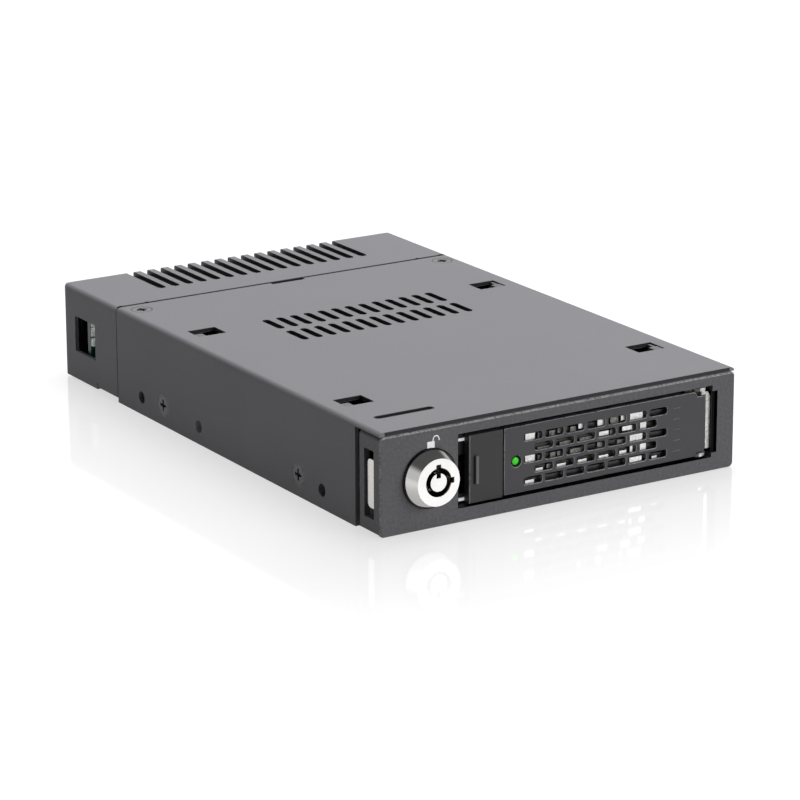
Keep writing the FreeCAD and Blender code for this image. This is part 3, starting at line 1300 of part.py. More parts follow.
def make_springs():
    length = S["torsion_room"] - S["torsion_wire"] * 2
    wide = S["knuckle"] - S["piece_gap"] * 2
    spot = (PIVOT_ACROSS, S["pivot_back"], (EAR_LOW + EAR_HIGH - length) / 2)
    keep(coil("LeverSpring", "Z", spot, wide, S["torsion_wire"], length), "lever_spring")
    start = SPRING_LEFT + S["spring_wire"]
    spot = (start, SPRING_BACK, ROW_MIDDLE)
    length = STEM_LEFT - start - S["spring_wire"]
    keep(coil("ButtonSpring", "X", spot, S["spring_coil"], S["spring_wire"], length), "button_spring")


def make_lever_grille():
    """Door panel with five staggered rows of slots and a thin lip over the hinge."""
    body = new_body("LeverGrilleBody")
    panel = (DOOR_SPLIT, LEVER_RIGHT, DOOR_LOW, DOOR_HIGH)
    add_box(body, "LeverPanel", "Y", S["door_front"], S["door_thick"], panel)
    front = S["door_front"].value
    left = DOOR_SPLIT.value
    round_edges(
        body, "LeverEndEdge", ALONG_Z, S["door_edge"],
        lambda spot: abs(spot.y - front) < NEAR and abs(spot.x - left) < NEAR,
    )
    ahead = S["door_front"] - PAST
    through = S["door_thick"] + 2 * PAST
    notch = S["ear_thick"] + S["ear_gap"] * 2
    sketch = new_sketch(body, "Y", ahead, "LeverCorners")
    sides = (LEVER_RIGHT - S["lever_corner"], LEVER_RIGHT + PAST)
    draw_box(sketch, *sides, DOOR_LOW - PAST, DOOR_LOW + notch)
    draw_box(sketch, *sides, DOOR_HIGH - notch, DOOR_HIGH + PAST)
    pocket(body, sketch, "Y", through)
    lip = (LEVER_RIGHT - PAST, LIP_RIGHT, DOOR_LOW + S["lip_trim"], DOOR_HIGH - S["lip_trim"])
    add_box(body, "LeverLip", "Y", S["door_front"], S["lip_thick"], lip)
    sketch = new_sketch(body, "Y", ahead, "LeverLightHole")
    draw_circle(sketch, LIGHT_ACROSS, ROW_MIDDLE, S["light_hole"])
    pocket(body, sketch, "Y", through)
    reach = (S["slot_length"] - S["slot_height"]) / 2
    for row in range(-2, 3):
        short = row % 2
        start = SLOT_FIRST + S["slot_pitch"] / 2 * short
        up = ROW_MIDDLE + S["slot_row_pitch"] * row
        sketch = new_sketch(body, "Y", ahead, f"GrilleSlot{row + 3}")
        draw_slot(sketch, (start - reach, up), (start + reach, up), S["slot_height"])
        opening = pocket(body, sketch, "Y", through)
        repeat(body, [opening], f"GrilleRow{row + 3}", LONG_ROW_COUNT - short, S["slot_pitch"])
    keep(body, "lever_grille")


def make_lever_bracket():
    """Stamped plate behind the grille, with two ears on the pin, a curled hook strip and a keeper."""
    body = new_body("LeverPlateBody")
    sides = (PLATE_LEFT, PLATE_RIGHT, PLATE_LOW, PLATE_HIGH)
    add_box(body, "LeverPlate", "Y", PLATE_FRONT, S["plate"], sides)
    sketch = new_sketch(body, "Y", PLATE_FRONT - PAST, "PlateWindows")
    half_post = S["plate_post"] / 2
    half_bar = S["plate_bar"] / 2
    post_left = DOOR_SPLIT + S["plate_post_lead"]
    post_right = LEVER_RIGHT - S["plate_post_tail"]
    rows = (
        (PLATE_LOW + S["plate_rim"], ROW_FOUR - half_bar),
        (ROW_FOUR + half_bar, ROW_TWO - half_bar),
        (ROW_TWO + half_bar, PLATE_HIGH - S["plate_rim"]),
    )
    spans = (
        (post_left + half_post, post_right - half_post),
        (post_right + half_post, PLATE_RIGHT - S["lever_corner"]),
    )
    for left, right in spans:
        for low, high in rows:
            draw_box(sketch, left, right, low, high)
    draw_circle(sketch, LIGHT_ACROSS, ROW_MIDDLE, S["light_hole"])
    pocket(body, sketch, "Y", S["plate"] + 2 * PAST)
    keeper = (PLATE_LEFT, KEEPER_RIGHT, NOSE_LOW, NOSE_HIGH)
    add_box(body, "Keeper", "Y", PLATE_FRONT, NOSE_BACK - PLATE_FRONT, keeper)
    arm_left = LEVER_RIGHT - S["lever_corner"] + S["ear_gap"] * 2
    arm_front = PLATE_FRONT - S["plate"]
    solids = [body]
    for name, low, fold_low, fold_high in (
        ("LowEar", EAR_LOW, EAR_LOW, PLATE_LOW + PAST),
        ("HighEar", EAR_HIGH - S["ear_thick"], PLATE_HIGH - PAST, EAR_HIGH),
    ):
        high = low + S["ear_thick"]
        spot = (PIVOT_ACROSS, S["pivot_back"], low)
        solids.append(round_bar(name + "Disc", "Z", spot, S["ear"], S["ear_thick"]))
        solids.append(block(name + "Arm", arm_left, PIVOT_ACROSS, arm_front, PLATE_BACK, low, high))
        fold = (arm_left, PLATE_RIGHT, PLATE_FRONT, PLATE_BACK, fold_low, fold_high)
        solids.append(block(name + "Fold", *fold))
    solids.append(make_hook_strip())
    spot = (PIVOT_ACROSS, S["pivot_back"], EAR_LOW - PAST)
    hole = round_bar("EarBore", "Z", spot, PIN_BORE, EAR_HIGH - EAR_LOW + 2 * PAST)
    keep(cut("LeverBracket", join("BracketSolid", solids), [hole]), "lever_bracket")


def make_hook_strip():
    """Upright strip that levers the tray out; its top curls over to the upper ear."""
    body = new_body("HookStripBody")
    left = LIP_RIGHT + S["ear_gap"]
    right = left + S["strip_width"]
    curl = S["curl"]
    shoulder = HOOK_SLOT_HIGH - curl
    under = DOOR_HIGH - S["lip_trim"] + S["door_gap"]
    neck = PIVOT_ACROSS + S["curl_reach"]
    sketch = new_sketch(body, "Y", S["door_front"], "StripOutline")
    draw_outline(sketch, [
        (left, HOOK_SLOT_LOW + S["strip_rise"]), (right, HOOK_SLOT_LOW + S["strip_rise"]),
        (right, shoulder), (right - curl / 4, shoulder + curl / 2),
        (right - curl / 2, HOOK_SLOT_HIGH - curl / 8),
        (neck, HOOK_SLOT_HIGH), (neck, EAR_HIGH), (PIVOT_ACROSS, EAR_HIGH), (PIVOT_ACROSS, under),
        (left, under),
    ])
    pad(body, sketch, "Y", S["plate"] + S["ear_gap"])
    return body


def make_release_button():
    """Sliding button: face plate with a finger ridge, a stem to its spring, and a latch nose."""
    body = new_body("ReleaseButtonBody")
    face = (BUTTON_LEFT, BUTTON_RIGHT, DOOR_LOW, DOOR_HIGH)
    add_box(body, "ButtonFace", "Y", S["door_front"], S["button_thick"], face)
    front = S["door_front"].value
    round_edges(
        body, "ButtonEdges", ALONG_Z, S["door_edge"], lambda spot: abs(spot.y - front) < NEAR
    )
    left = BUTTON_LEFT + S["ridge_inset"]
    half = S["ridge_height"] / 2
    ridge = (left, left + S["ridge_width"], ROW_MIDDLE - half, ROW_MIDDLE + half)
    stand = S["ridge_stand"]
    add_box(body, "ButtonRidge", "Y", S["door_front"] - stand, stand + S["ear_gap"], ridge)
    stem = (STEM_LEFT, STEM_LEFT + S["stem_width"], STEM_LOW, STEM_LOW + S["stem_height"])
    add_box(body, "ButtonStem", "Y", BUTTON_BACK, S["stem_back"] - BUTTON_BACK, stem)
    arm = (STEM_LEFT, BUTTON_RIGHT, NOSE_LOW, NOSE_HIGH)
    add_box(body, "ButtonArm", "Y", BUTTON_BACK, NOSE_BACK - BUTTON_BACK, arm)
    nose = (BUTTON_RIGHT - PAST, PLATE_LEFT - S["door_gap"], NOSE_LOW, NOSE_HIGH)
    add_box(body, "ButtonNose", "Y", NOSE_FRONT, S["nose_thick"], nose)
    keep(body, "release_button")


def make_drive_board():
    """Upright board behind the drive, with the socket that the drive plugs into."""
    half = S["boss_width"] / 2
    plate = block(
        "DriveBoardPlate", BOARD_SCREWS[0] - half, BOARD_SCREWS[1] + half,
        DRIVE_BOARD_FRONT, DRIVE_BOARD_BACK, BOARD_LOW, BOARD_HIGH,
    )
    holes = []
    for across in BOARD_SCREWS:
        spot = (across, DRIVE_BOARD_FRONT - PAST, S["boss_height"])
        holes.append(flat_bar("DriveBoardHole", "Y", spot, SCREW_HOLE, S["board"] + 2 * PAST))
    keep(cut("DriveBoard", plate, holes), "drive_board")
    half = S["socket_width"] / 2
    front = DRIVE_BACK - S["socket_mouth_depth"]
    low = TRAY_FLOOR + S["socket_lift"]
    shell = block(
        "SocketShell", TRAY_MIDDLE - half, TRAY_MIDDLE + half, front,
        DRIVE_BOARD_FRONT - S["seat_gap"], low, low + S["socket_height"],
    )
    wall = (S["socket_height"] - S["socket_mouth"]) / 2
    mouth = block(
        "SocketMouth", TRAY_MIDDLE - half + wall, TRAY_MIDDLE + half - wall,
        front - PAST, front + S["socket_mouth_depth"], low + wall, low + wall + S["socket_mouth"],
    )
    keep(cut("DriveConnector", shell, [mouth]), "drive_connector")


def make_link_board():
    """Flat board between the two upright ones, with a header at each end."""
    half = S["link_width"] / 2
    top = S["link_height"] + S["board"]
    front = DRIVE_BOARD_BACK + S["seat_gap"]
    back = REAR_BOARD_FRONT - S["seat_gap"]
    sides = (TRAY_MIDDLE - half, TRAY_MIDDLE + half, front, back, S["link_height"], top)
    keep(block("LinkBoard", *sides), "link_board")
    half = S["header_width"] / 2
    low = top + S["seat_gap"]
    headers = []
    for start in (front, back - S["header_depth"]):
        headers.append(block(
            "Header", TRAY_MIDDLE - half, TRAY_MIDDLE + half,
            start, start + S["header_depth"], low, low + S["header_height"],
        ))
    keep(group("BoardHeaders", headers), "board_headers")


def make_rear_board():
    """Upright board under the hood with the two ports that face the back."""
    half = INNER_SIDE - S["rear_board_gap"]
    plate = block("RearBoardPlate", -half, half, REAR_BOARD_FRONT, REAR_BOARD_BACK, BOARD_LOW, BOARD_HIGH)
    holes = []
    for across in REAR_TABS:
        spot = (across, REAR_BOARD_FRONT - PAST, S["rear_tab_hole"])
        holes.append(flat_bar("RearBoardHole", "Y", spot, SCREW_HOLE, S["board"] + 2 * PAST))
    keep(cut("RearBoard", plate, holes), "rear_board")
    start = REAR_BOARD_BACK + S["seat_gap"]
    end = HOOD_BACK - S["sheet_fit"]
    wall = S["port_wall"]
    labels = (("DataPort", "data_port"), ("PowerPort", "power_port"))
    for (name, label), (centre, width, high) in zip(labels, PORTS):
        left = centre - width / 2
        right = centre + width / 2
        low = S["port_height"] - high / 2
        top = low + high
        shell = block(name + "Shell", left, right, start, end, low, top)
        mouth = block(
            name + "Mouth", left + wall, right - wall, end - S["port_depth"], end + PAST,
            low + wall, top - wall,
        )
        keep(cut(name, shell, [mouth]), label)


def check_document():
    for item in doc.Objects:
        if "Invalid" in item.State or "Error" in item.State:
            raise RuntimeError(f"{item.Name} is {item.State}")
    for item in pieces:
        shape = item.Shape
        if shape.isNull() or not shape.isValid() or not shape.Solids:
            raise RuntimeError(f"{item.Label} has no sound shape")
        print(f"{item.Label}: {len(shape.Solids)} solids, {shape.Volume:.1f} mm3")


def write_pieces():
    os.makedirs("parts", exist_ok=True)
    for item in pieces:
        item.Shape.exportStep(os.path.join("parts", item.Label + ".step"))


make_top_cover()
make_bottom_plate()
make_rear_hood()
make_front_bezel()
make_lock_housing()
make_lock_core()
make_lock_clip()
make_guides()
make_fasteners()
make_tray_frame()
make_tray_front()
make_tray_screws()
make_springs()
make_lever_grille()
make_lever_bracket()
make_release_button()
make_drive_board()
make_link_board()
make_rear_board()
doc.recompute()
check_document()
write_pieces()
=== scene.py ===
import json
import math
import bmesh
import bpy
from mathutils import Matrix, Vector


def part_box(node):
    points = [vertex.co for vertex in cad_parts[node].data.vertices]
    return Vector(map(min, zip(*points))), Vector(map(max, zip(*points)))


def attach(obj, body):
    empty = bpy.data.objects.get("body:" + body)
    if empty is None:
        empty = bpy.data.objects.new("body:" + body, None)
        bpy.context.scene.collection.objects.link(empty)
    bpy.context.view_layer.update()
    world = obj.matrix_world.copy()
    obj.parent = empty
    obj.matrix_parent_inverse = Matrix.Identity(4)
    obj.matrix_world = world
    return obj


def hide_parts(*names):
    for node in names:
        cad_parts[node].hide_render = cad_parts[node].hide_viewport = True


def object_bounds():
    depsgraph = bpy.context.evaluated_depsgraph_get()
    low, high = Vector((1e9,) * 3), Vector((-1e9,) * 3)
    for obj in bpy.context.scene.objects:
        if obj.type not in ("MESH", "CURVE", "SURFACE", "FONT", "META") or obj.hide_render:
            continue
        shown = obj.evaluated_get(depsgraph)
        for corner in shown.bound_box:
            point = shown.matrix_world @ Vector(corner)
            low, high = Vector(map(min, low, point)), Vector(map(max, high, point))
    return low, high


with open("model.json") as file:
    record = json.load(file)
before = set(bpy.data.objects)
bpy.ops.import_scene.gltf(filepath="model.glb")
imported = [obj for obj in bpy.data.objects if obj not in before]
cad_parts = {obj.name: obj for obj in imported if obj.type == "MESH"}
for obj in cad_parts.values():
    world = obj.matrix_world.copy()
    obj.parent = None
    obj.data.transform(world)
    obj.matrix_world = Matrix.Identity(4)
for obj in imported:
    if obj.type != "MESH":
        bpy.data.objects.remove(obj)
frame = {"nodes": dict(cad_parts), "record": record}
cad_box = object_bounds()
nodes = frame["nodes"]

# Sizes and places are in millimetres: X to the right, Y back from the bezel's face, Z up.
MM = 0.001


def span(name):
    """Low and high corners of a CAD node."""
    return [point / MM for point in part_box(name)]


def middle_of(name):
    """Middle of a CAD node."""
    low, high = span(name)
    return (low + high) / 2


# Surface colours in sRGB: own colours, and painted shade or painted highlight where marked. A pair is the
# darker and the lighter end of a ramp.
CASE_GREY = (166, 165, 170)
# Painted shade on the roof's cut edges, the seam and the slit's border.
ROOF_SHADE = (44, 44, 47)
# Painted shade: the case's grey made darker for the pressed tabs.
TAB_SHADED_GREY = (150, 149, 154)
CORNER_SCREW_GREY = (150, 149, 152)
# Painted shade in the corner screw's socket and round its head.
CORNER_SOCKET_SHADE = (46, 46, 49)
CORNER_RIM_SHADE = (74, 74, 77)
SIDE_SCREW_GREY = (140, 139, 143)
# Painted shade in the side screw's socket and round its head.
SIDE_SOCKET_SHADE = (18, 18, 19)
SIDE_RIM_SHADE = (92, 92, 95)
BEZEL_GREY = (122, 121, 125)
# Painted highlight on the bezel's edges that face up and to the left.
BEZEL_EDGE_HIGHLIGHT = (196, 195, 199)
# Painted shade on the bay's walls and the hook web, less deep on the bay's right wall.
BAY_SHADE_BLACK = (14, 14, 15)
BAY_RIGHT_SHADE = (66, 66, 69)
DOOR_GREY = (87, 87, 91)
# Painted highlight on the door's edges that face up and to the left.
DOOR_EDGE_HIGHLIGHT = (205, 205, 206)
BUTTON_GREY = (68, 68, 69)
# Painted highlight on the button's edges that face up and to the left.
BUTTON_EDGE_HIGHLIGHT = (190, 190, 192)
# Painted highlight on the release button's ridge.
RIDGE_HIGHLIGHT = (138, 138, 140)
BLACK = (26, 26, 28)
LOCK_PLATING = (198, 197, 196)
# Painted shade on the lock's seat ring and in its key well.
LOCK_SEAT_SHADE = (30, 29, 29)
LOCK_WELL_SHADE = (118, 114, 110)
# Painted shade on the key post's sides.
POST_SIDES_SHADE = (84, 81, 78)
STEEL = (198, 196, 192)
ZINC = (176, 177, 180)
SCREW = (70, 70, 73)
INSERT_BLACK = (34, 34, 36)
# Painted shade on the lever bracket's plate and arms, and the lighter grey of the strip beside the hinge.
BRACKET_SHADE = (84, 82, 78)
HINGE_STRIP_TONES = ((196, 195, 193), (255, 255, 253))
# Painted shade and painted light on the punched shield, by how far a face is raised.
SHIELD_SHADE = ((16, 16, 14), (44, 43, 36))
SHIELD_HALF_LIT = ((104, 102, 92), (205, 203, 194))
SHIELD_LIT = ((205, 205, 203), (246, 246, 244))
# Solder's speckled tones, which also glow faintly as painted light.
SOLDER = ((96, 112, 104), (244, 246, 245))
LIGHT_GREEN = (50, 200, 14)
# Painted shade round the light pipe's rim.
LIGHT_RIM_SHADE = (10, 34, 8)
UNLIT = (0, 0, 0)
BOARD_GREEN = (38, 88, 66)
GOLD = (212, 175, 90)
IVORY = (232, 229, 218)
# White of print, also used for a painted highlight point.
PRINT_AND_HIGHLIGHT_WHITE = (225, 225, 226)
# Painted highlight on the middle insert's threads.
THREAD_HIGHLIGHT = (244, 244, 245)
WHITE = (1, 1, 1, 1)  # linear, for what shines

# Places on the case.
ROOF = cad_box[1][2] / MM
ROOF_SKIN = ROOF - 0.5  # the roof's painted face lies above this
ROOF_CUTS = (ROOF - 0.95, ROOF - 0.05)  # cut edges in the roof lie between these heights
ROOF_HALF = 49.3  # half of the roof's width inside its bends
ROOF_BACK = 158.1  # cut edges behind this get no painted shade
COVER_BACK = span("top_cover")[1].y
SEAM = (COVER_BACK - 0.25, COVER_BACK + 0.9)  # painted shadow line between cover and hood, front and back
SEAM_HALF = 50.2  # how far the line goes to each side
SLIT = (-37.15, 11.3)  # middle of the slit in the roof
SLIT_REACH = 7.05  # half of the slit's centre line
SLIT_SHADE_WIDTH = 1.15  # how far the painted shade border goes from that line
LANCES = (22.7, 93.6)  # front edges of the lance windows
LIT_THREADS = ((85.5, 86.5), (4.4, 6.4))  # painted highlight in the middle insert: front and back, low and high
REAR_BOARD_FRONT = span("rear_board")[0].y

# The screws' axes, found from the rims of their heads.
hood_low, hood_high = span("hood_screws")
HOOD_SCREW = (hood_high.x - (hood_high.y - hood_low.y) / 2, (hood_low.y + hood_high.y) / 2)
side_low, side_high = span("side_screws")
SIDE_HEAD = (side_high.z - side_low.z) / 2
SIDE_SCREWS = (side_low.y + SIDE_HEAD, side_high.y - SIDE_HEAD)
SIDE_SCREW_HIGH = side_low.z + SIDE_HEAD

# Places on the front.
LOCK_AXIS = middle_of("lock_housing")
SEAT_FRONT = -0.62  # the lock's seat ring is painted dark as shade behind this
WELL_FRONT = -3.9
WELL_RADIUS = 4.6
POST_END = -3.8  # the key post's bright end is in front of this, its sides behind it in painted shade
LIGHT_AXIS = middle_of("light_pipe")
LENS_RIM = (0.95, 3.0)  # the light pipe is painted dark as shade between these distances from its axis
# The ridge, which gets a painted highlight, lies right of and in front of these.
RIDGE_LEFT = -24.2
RIDGE_BACK = 0.6
# The bay's walls and the hook web are painted in shade inside these limits.
BAY_WALLS = ((-29.53, 44.03), (3.47, 21.83))  # left and right, low and high
HOOK_WEB = ((43.87, 45.53), (4.67, 20.33))
BAY_FRONT = 0.12  # the walls begin behind the bezel's face
BAY_RIGHT = 43.0  # the bay's right wall is to the right of this
HINGE_STRIP = 40.9  # the bracket is lighter to the right of this, painted dark as shade to the left
HALF_RAISED = 1.8  # fronts of the faces punched in the shield
FULL_RAISED = 1.5

# The grille's slots, in rows that are counted from the middle one.
ROWS = range(-2, 3)
ROW_MIDDLE = LIGHT_AXIS.z
ROW_PITCH = 2.7
ROW_SLOTS = 7
SLOT_PITCH = 6.05
SLOT_FIRST = -7.8
SLOT_HALF = 2.6
SLOT_RISE = 0.9

# The door panel: a thin skin over a hollow frame, which lap, and a thin end at the hinge.
DOOR_TRIM = 0.25  # how far the skin's lower edge stands above the CAD door's
SKIN_THICK = 0.7
FRAME_THICK = 1.15
END_THICK = 0.55
LAP = 0.1
HOLLOW = (-10.9, 31.6, 5.5, 18.5)  # left, right, low and high
SLOT_CORNER = 0.5
LIGHT_HOLE = 1.45
DASH = (33.1, 35.1)  # left and right of the dash at the end of each row
DASH_RISE = 0.13


def linear(colour):
    """sRGB 0 to 255 as the linear values that a shader socket takes."""
    out = []
    for part in colour:
        share = part / 255
        out.append(share / 12.92 if share <= 0.04045 else ((share + 0.055) / 1.055) ** 2.4)
    return (*out, 1.0)


def shade(colour, factor):
    """A linear colour made lighter or darker."""
    return (*[min(part * factor, 1.0) for part in linear(colour)[:3]], 1.0)


# ---------------------------------------------------------------- node trees


class Nodes:
    """Short calls for building a node tree."""

    def __init__(self, tree):
        self.tree = tree

    def add(self, kind, **settings):
        node = self.tree.nodes.new(kind)
        for name, value in settings.items():
            setattr(node, name, value)
        return node

    def feed(self, socket, value):
        """Give a socket a source, or a constant."""
        if isinstance(value, bpy.types.NodeSocket):
            self.tree.links.new(value, socket)
        else:
            socket.default_value = value

    def math(self, kind, *values):
        """One sum on sources or numbers."""
        node = self.add("ShaderNodeMath", operation=kind)
        for socket, value in zip(node.inputs, values):
            self.feed(socket, value)
        return node.outputs[0]

    def hypot(self, first, second):
        """Length of two sides at right angles."""
        squares = [self.math("MULTIPLY", side, side) for side in (first, second)]
        return self.math("SQRT", self.math("ADD", *squares))

    def split(self, vector):
        """The X, Y and Z of a vector."""
        node = self.add("ShaderNodeSeparateXYZ")
        self.feed(node.inputs[0], vector)
        return tuple(node.outputs)

    def remap(self, source, start, end):
        """Map one range onto another."""
        node = self.add("ShaderNodeMapRange")
        for name, value in zip(("From Min", "From Max", "To Min", "To Max"), (*start, *end)):
            self.feed(node.inputs[name], value)
        self.feed(node.inputs["Value"], source)
        return node.outputs["Result"]


class Finish(Nodes):
    """The node tree of one material."""

    def __init__(self, name):
        self.name = name
        self.material = bpy.data.materials.new(name)
        self.material.use_nodes = True
        super().__init__(self.material.node_tree)
        self.shader = self.tree.nodes["Principled BSDF"]
        spots = self.add("ShaderNodeTexCoord")
        self.place = spots.outputs["Object"]
        self.facing = spots.outputs["Normal"]

    def set(self, **values):
        """Feed the shader's sockets, named with underscores for spaces."""
        for name, value in values.items():
            self.feed(self.shader.inputs[name.replace("_", " ")], value)

    def noise(self, scale, detail=2.0, rough=0.5, stretch=None):
        """Noise in object space, its scale per metre, drawn out along an axis as brushing does."""
        node = self.add("ShaderNodeTexNoise")
        place = self.place
        if stretch:
            mapping = self.add("ShaderNodeMapping")
            self.feed(mapping.inputs["Scale"], stretch)
            self.feed(mapping.inputs["Vector"], place)
            place = mapping.outputs["Vector"]
        inputs = {"Vector": place, "Scale": scale, "Detail": detail, "Roughness": rough}
        for name, value in inputs.items():
            self.feed(node.inputs[name], value)
        return node.outputs["Fac"]

    def ramp(self, source, *stops):
        """A colour ramp through two (position, linear colour) stops."""
        node = self.add("ShaderNodeValToRGB")
        for element, (position, colour) in zip(node.color_ramp.elements, stops):
            element.position = position
            element.color = colour
        self.feed(node.inputs["Fac"], source)
        return node.outputs["Color"]

    def around(self, source, middle, less, more):
        """Spread a source of 0 to 1 about a middle value."""
        return self.remap(source, (0.0, 1.0), (middle - less, middle + more))

    def blend(self, mask, plain, other):
        """A colour where the mask is 0 and another where it is 1."""
        node = self.add("ShaderNodeMix", data_type="RGBA")
        for index, value in ((0, mask), (6, plain), (7, other)):
            self.feed(node.inputs[index], value)
        return node.outputs[2]

    def tint_over(self, mask, colour, name="Base Color"):
        """Lay a colour over what a shader socket takes already, where the mask is 1."""
        if isinstance(colour, tuple):
            colour = linear(colour)
        before = self.shader.inputs[name].links[0].from_socket
        self.feed(self.shader.inputs[name], self.blend(mask, before, colour))

    def bump(self, source, height):
        """Bump of a real height in metres."""
        node = self.add("ShaderNodeBump")
        for name, value in (("Strength", 1.0), ("Distance", height), ("Height", source)):
            self.feed(node.inputs[name], value)
        self.set(Normal=node.outputs["Normal"])

    # Masks are 1 inside and 0 outside. Sources are in metres and limits in millimetres.

    def both(self, *masks):
        """1 where every mask is 1."""
        product, *others = masks
        for mask in others:
            product = self.math("MULTIPLY", product, mask)
        return product

    def over(self, source, limit):
        return self.math("GREATER_THAN", source, limit * MM)

    def under(self, source, limit):
        return self.math("LESS_THAN", source, limit * MM)

    def inside(self, source, low, high):
        return self.both(self.over(source, low), self.under(source, high))

    def away(self, source, spot):
        """How far a coordinate is past a spot."""
        return self.math("SUBTRACT", source, spot * MM)

    def radius(self, axis):
        """Distance from an axis that runs from front to back."""
        across, _, height = self.split(self.place)
        return self.hypot(self.away(across, axis.x), self.away(height, axis.z))

    def edge_highlights(self, colour, low, high, grain=900.0):
        """Painted highlights in speckled patches on rounded edges that face up and to the left, where the
        light falls.
        """
        across, depth, height = self.split(self.facing)
        leaning = self.math("ABSOLUTE", depth)
        rounded = self.both(
            self.math("GREATER_THAN", leaning, 0.2),
            self.math("LESS_THAN", leaning, 0.96),
        )
        upper = self.math("GREATER_THAN", height, 0.2)
        leftward = self.math("LESS_THAN", across, -0.2)
        lit = self.both(rounded, self.math("MAXIMUM", upper, leftward))
        patches = self.remap(self.noise(grain, 3.0, 0.7), (low, high), (0.0, 1.0))
        self.tint_over(self.both(lit, patches), colour)


# ---------------------------------------------------------------- kinds of finish


def textured_paint(name, colour, grain, depth, contrast, rough):
    """Powder coat: fine lumps, their depth in metres, faint mottling and soft variation in gloss."""
    made = Finish(name)
    fine = made.noise(grain, 3.0, 0.6)
    made.set(
        Base_Color=made.ramp(fine, (0.30, shade(colour, 1 - contrast)), (0.70, shade(colour, 1 + contrast))),
        Roughness=made.around(made.noise(grain / 40), rough, 0.05, 0.05),
        Specular_IOR_Level=0.35,
    )
    made.bump(fine, depth)
    return made


def moulded_plastic(name, colour, rough):
    """Spark-eroded mould finish: a shallow even grain."""
    made = Finish(name)
    fine = made.noise(2600.0, 2.0, 0.55)
    made.set(
        Base_Color=made.ramp(fine, (0.35, shade(colour, 0.95)), (0.65, shade(colour, 1.05))),
        Roughness=made.around(fine, rough, 0.06, 0.06),
        Specular_IOR_Level=0.4,
    )
    made.bump(fine, 0.000006)
    return made


def brushed_metal(name, colour, rough):
    """Rolled or stamped sheet with faint lines from front to back."""
    made = Finish(name)
    lines = made.noise(900.0, 2.0, 0.6, (40, 1, 40))
    made.set(
        Base_Color=made.ramp(lines, (0.3, shade(colour, 0.90)), (0.7, shade(colour, 1.06))),
        Roughness=made.around(lines, rough, 0.07, 0.09),
        Metallic=1.0,
    )
    made.bump(lines, 0.000002)
    return made


def plated_metal(name, colour, rough):
    """Bright plating with slight cloudiness and handling haze."""
    made = Finish(name)
    haze = made.noise(260.0, 3.0, 0.6)
    made.set(
        Base_Color=made.ramp(haze, (0.3, shade(colour, 0.95)), (0.7, shade(colour, 1.03))),
        Roughness=made.around(haze, rough, 0.0, 0.08),
        Metallic=1.0,
    )
    return made


def circuit_board(name, colour):
    """Solder mask over copper: lighter tracks under a glossy green film."""
    made = Finish(name)
    cell = made.add("ShaderNodeTexVoronoi", feature="DISTANCE_TO_EDGE")
    made.feed(cell.inputs["Scale"], 420.0)
    made.feed(cell.inputs["Vector"], made.place)
    track = cell.outputs["Distance"]
    made.set(
        Base_Color=made.ramp(track, (0.02, shade(colour, 1.5)), (0.07, linear(colour))),
        Roughness=made.around(made.noise(300.0), 0.33, 0.07, 0.07),
    )
    made.bump(track, 0.00001)
    return made


# ---------------------------------------------------------------- finishes of single pieces


def case_finish():
    """Sheet metal paint; cut edges of the roof's openings, the seam and the slit's border are painted dark
    as shade.
    """
    made = textured_paint("case_paint", CASE_GREY, grain=1500.0, depth=0.00002, contrast=0.035, rough=0.55)
    side, depth, height = made.split(made.place)
    across = made.math("ABSOLUTE", side)
    upright = made.math("LESS_THAN", made.math("ABSOLUTE", made.split(made.facing)[2]), 0.3)
    roof = made.both(made.inside(height, *ROOF_CUTS), made.under(across, ROOF_HALF))
    made.tint_over(made.both(roof, upright, made.under(depth, ROOF_BACK)), ROOF_SHADE)
    painted = made.over(height, ROOF_SKIN)
    seam_shade = made.both(made.inside(depth, *SEAM), painted, made.under(across, SEAM_HALF))
    made.tint_over(seam_shade, ROOF_SHADE)
    slit_across, slit_depth = SLIT
    along = made.away(made.math("ABSOLUTE", made.away(side, slit_across)), SLIT_REACH)
    far = made.hypot(made.math("MAXIMUM", along, 0.0), made.away(depth, slit_depth))
    made.tint_over(made.both(made.under(far, SLIT_SHADE_WIDTH), painted), ROOF_SHADE)
    return made


def bezel_finish():
    """Grained paint; the bay's walls and the hook slot's web are painted black as shade, the bay's right
    wall in a less deep painted shade.
    """
    made = textured_paint("bezel_paint", BEZEL_GREY, grain=1300.0, depth=0.00004, contrast=0.16, rough=0.50)
    across, depth, height = made.split(made.place)
    bay, web = (
        made.both(made.inside(across, *sides), made.inside(height, *heights))
        for sides, heights in (BAY_WALLS, HOOK_WEB)
    )
    walls = made.both(bay, made.over(depth, BAY_FRONT))
    painted_shade = made.math("MAXIMUM", walls, web)
    right = made.both(walls, made.over(across, BAY_RIGHT))
    made.edge_highlights(BEZEL_EDGE_HIGHLIGHT, 0.34, 0.58, 1700.0)
    made.tint_over(painted_shade, BAY_SHADE_BLACK)
    made.tint_over(right, BAY_RIGHT_SHADE)
    # The painted shade is a black metal with no sheen, as in a deep recess.
    made.set(Metallic=made.math("SUBTRACT", painted_shade, right))
    return made


def door_finish():
    """Moulded door panel, with painted highlights on its slot and end edges."""
    made = moulded_plastic("door_plastic", DOOR_GREY, rough=0.45)
    made.edge_highlights(DOOR_EDGE_HIGHLIGHT, 0.3, 0.5)
    return made


def button_finish():
    """Release button, with painted highlights on its ridge and front edge."""
    made = moulded_plastic("button_plastic", BUTTON_GREY, rough=0.5)
    made.edge_highlights(BUTTON_EDGE_HIGHLIGHT, 0.3, 0.5)
    across, depth, _ = made.split(made.place)
    # The ridge's front is painted a lighter grey: a painted highlight.
    ridge = made.both(made.under(depth, RIDGE_BACK), made.over(across, RIDGE_LEFT))
    made.tint_over(ridge, RIDGE_HIGHLIGHT)
    return made


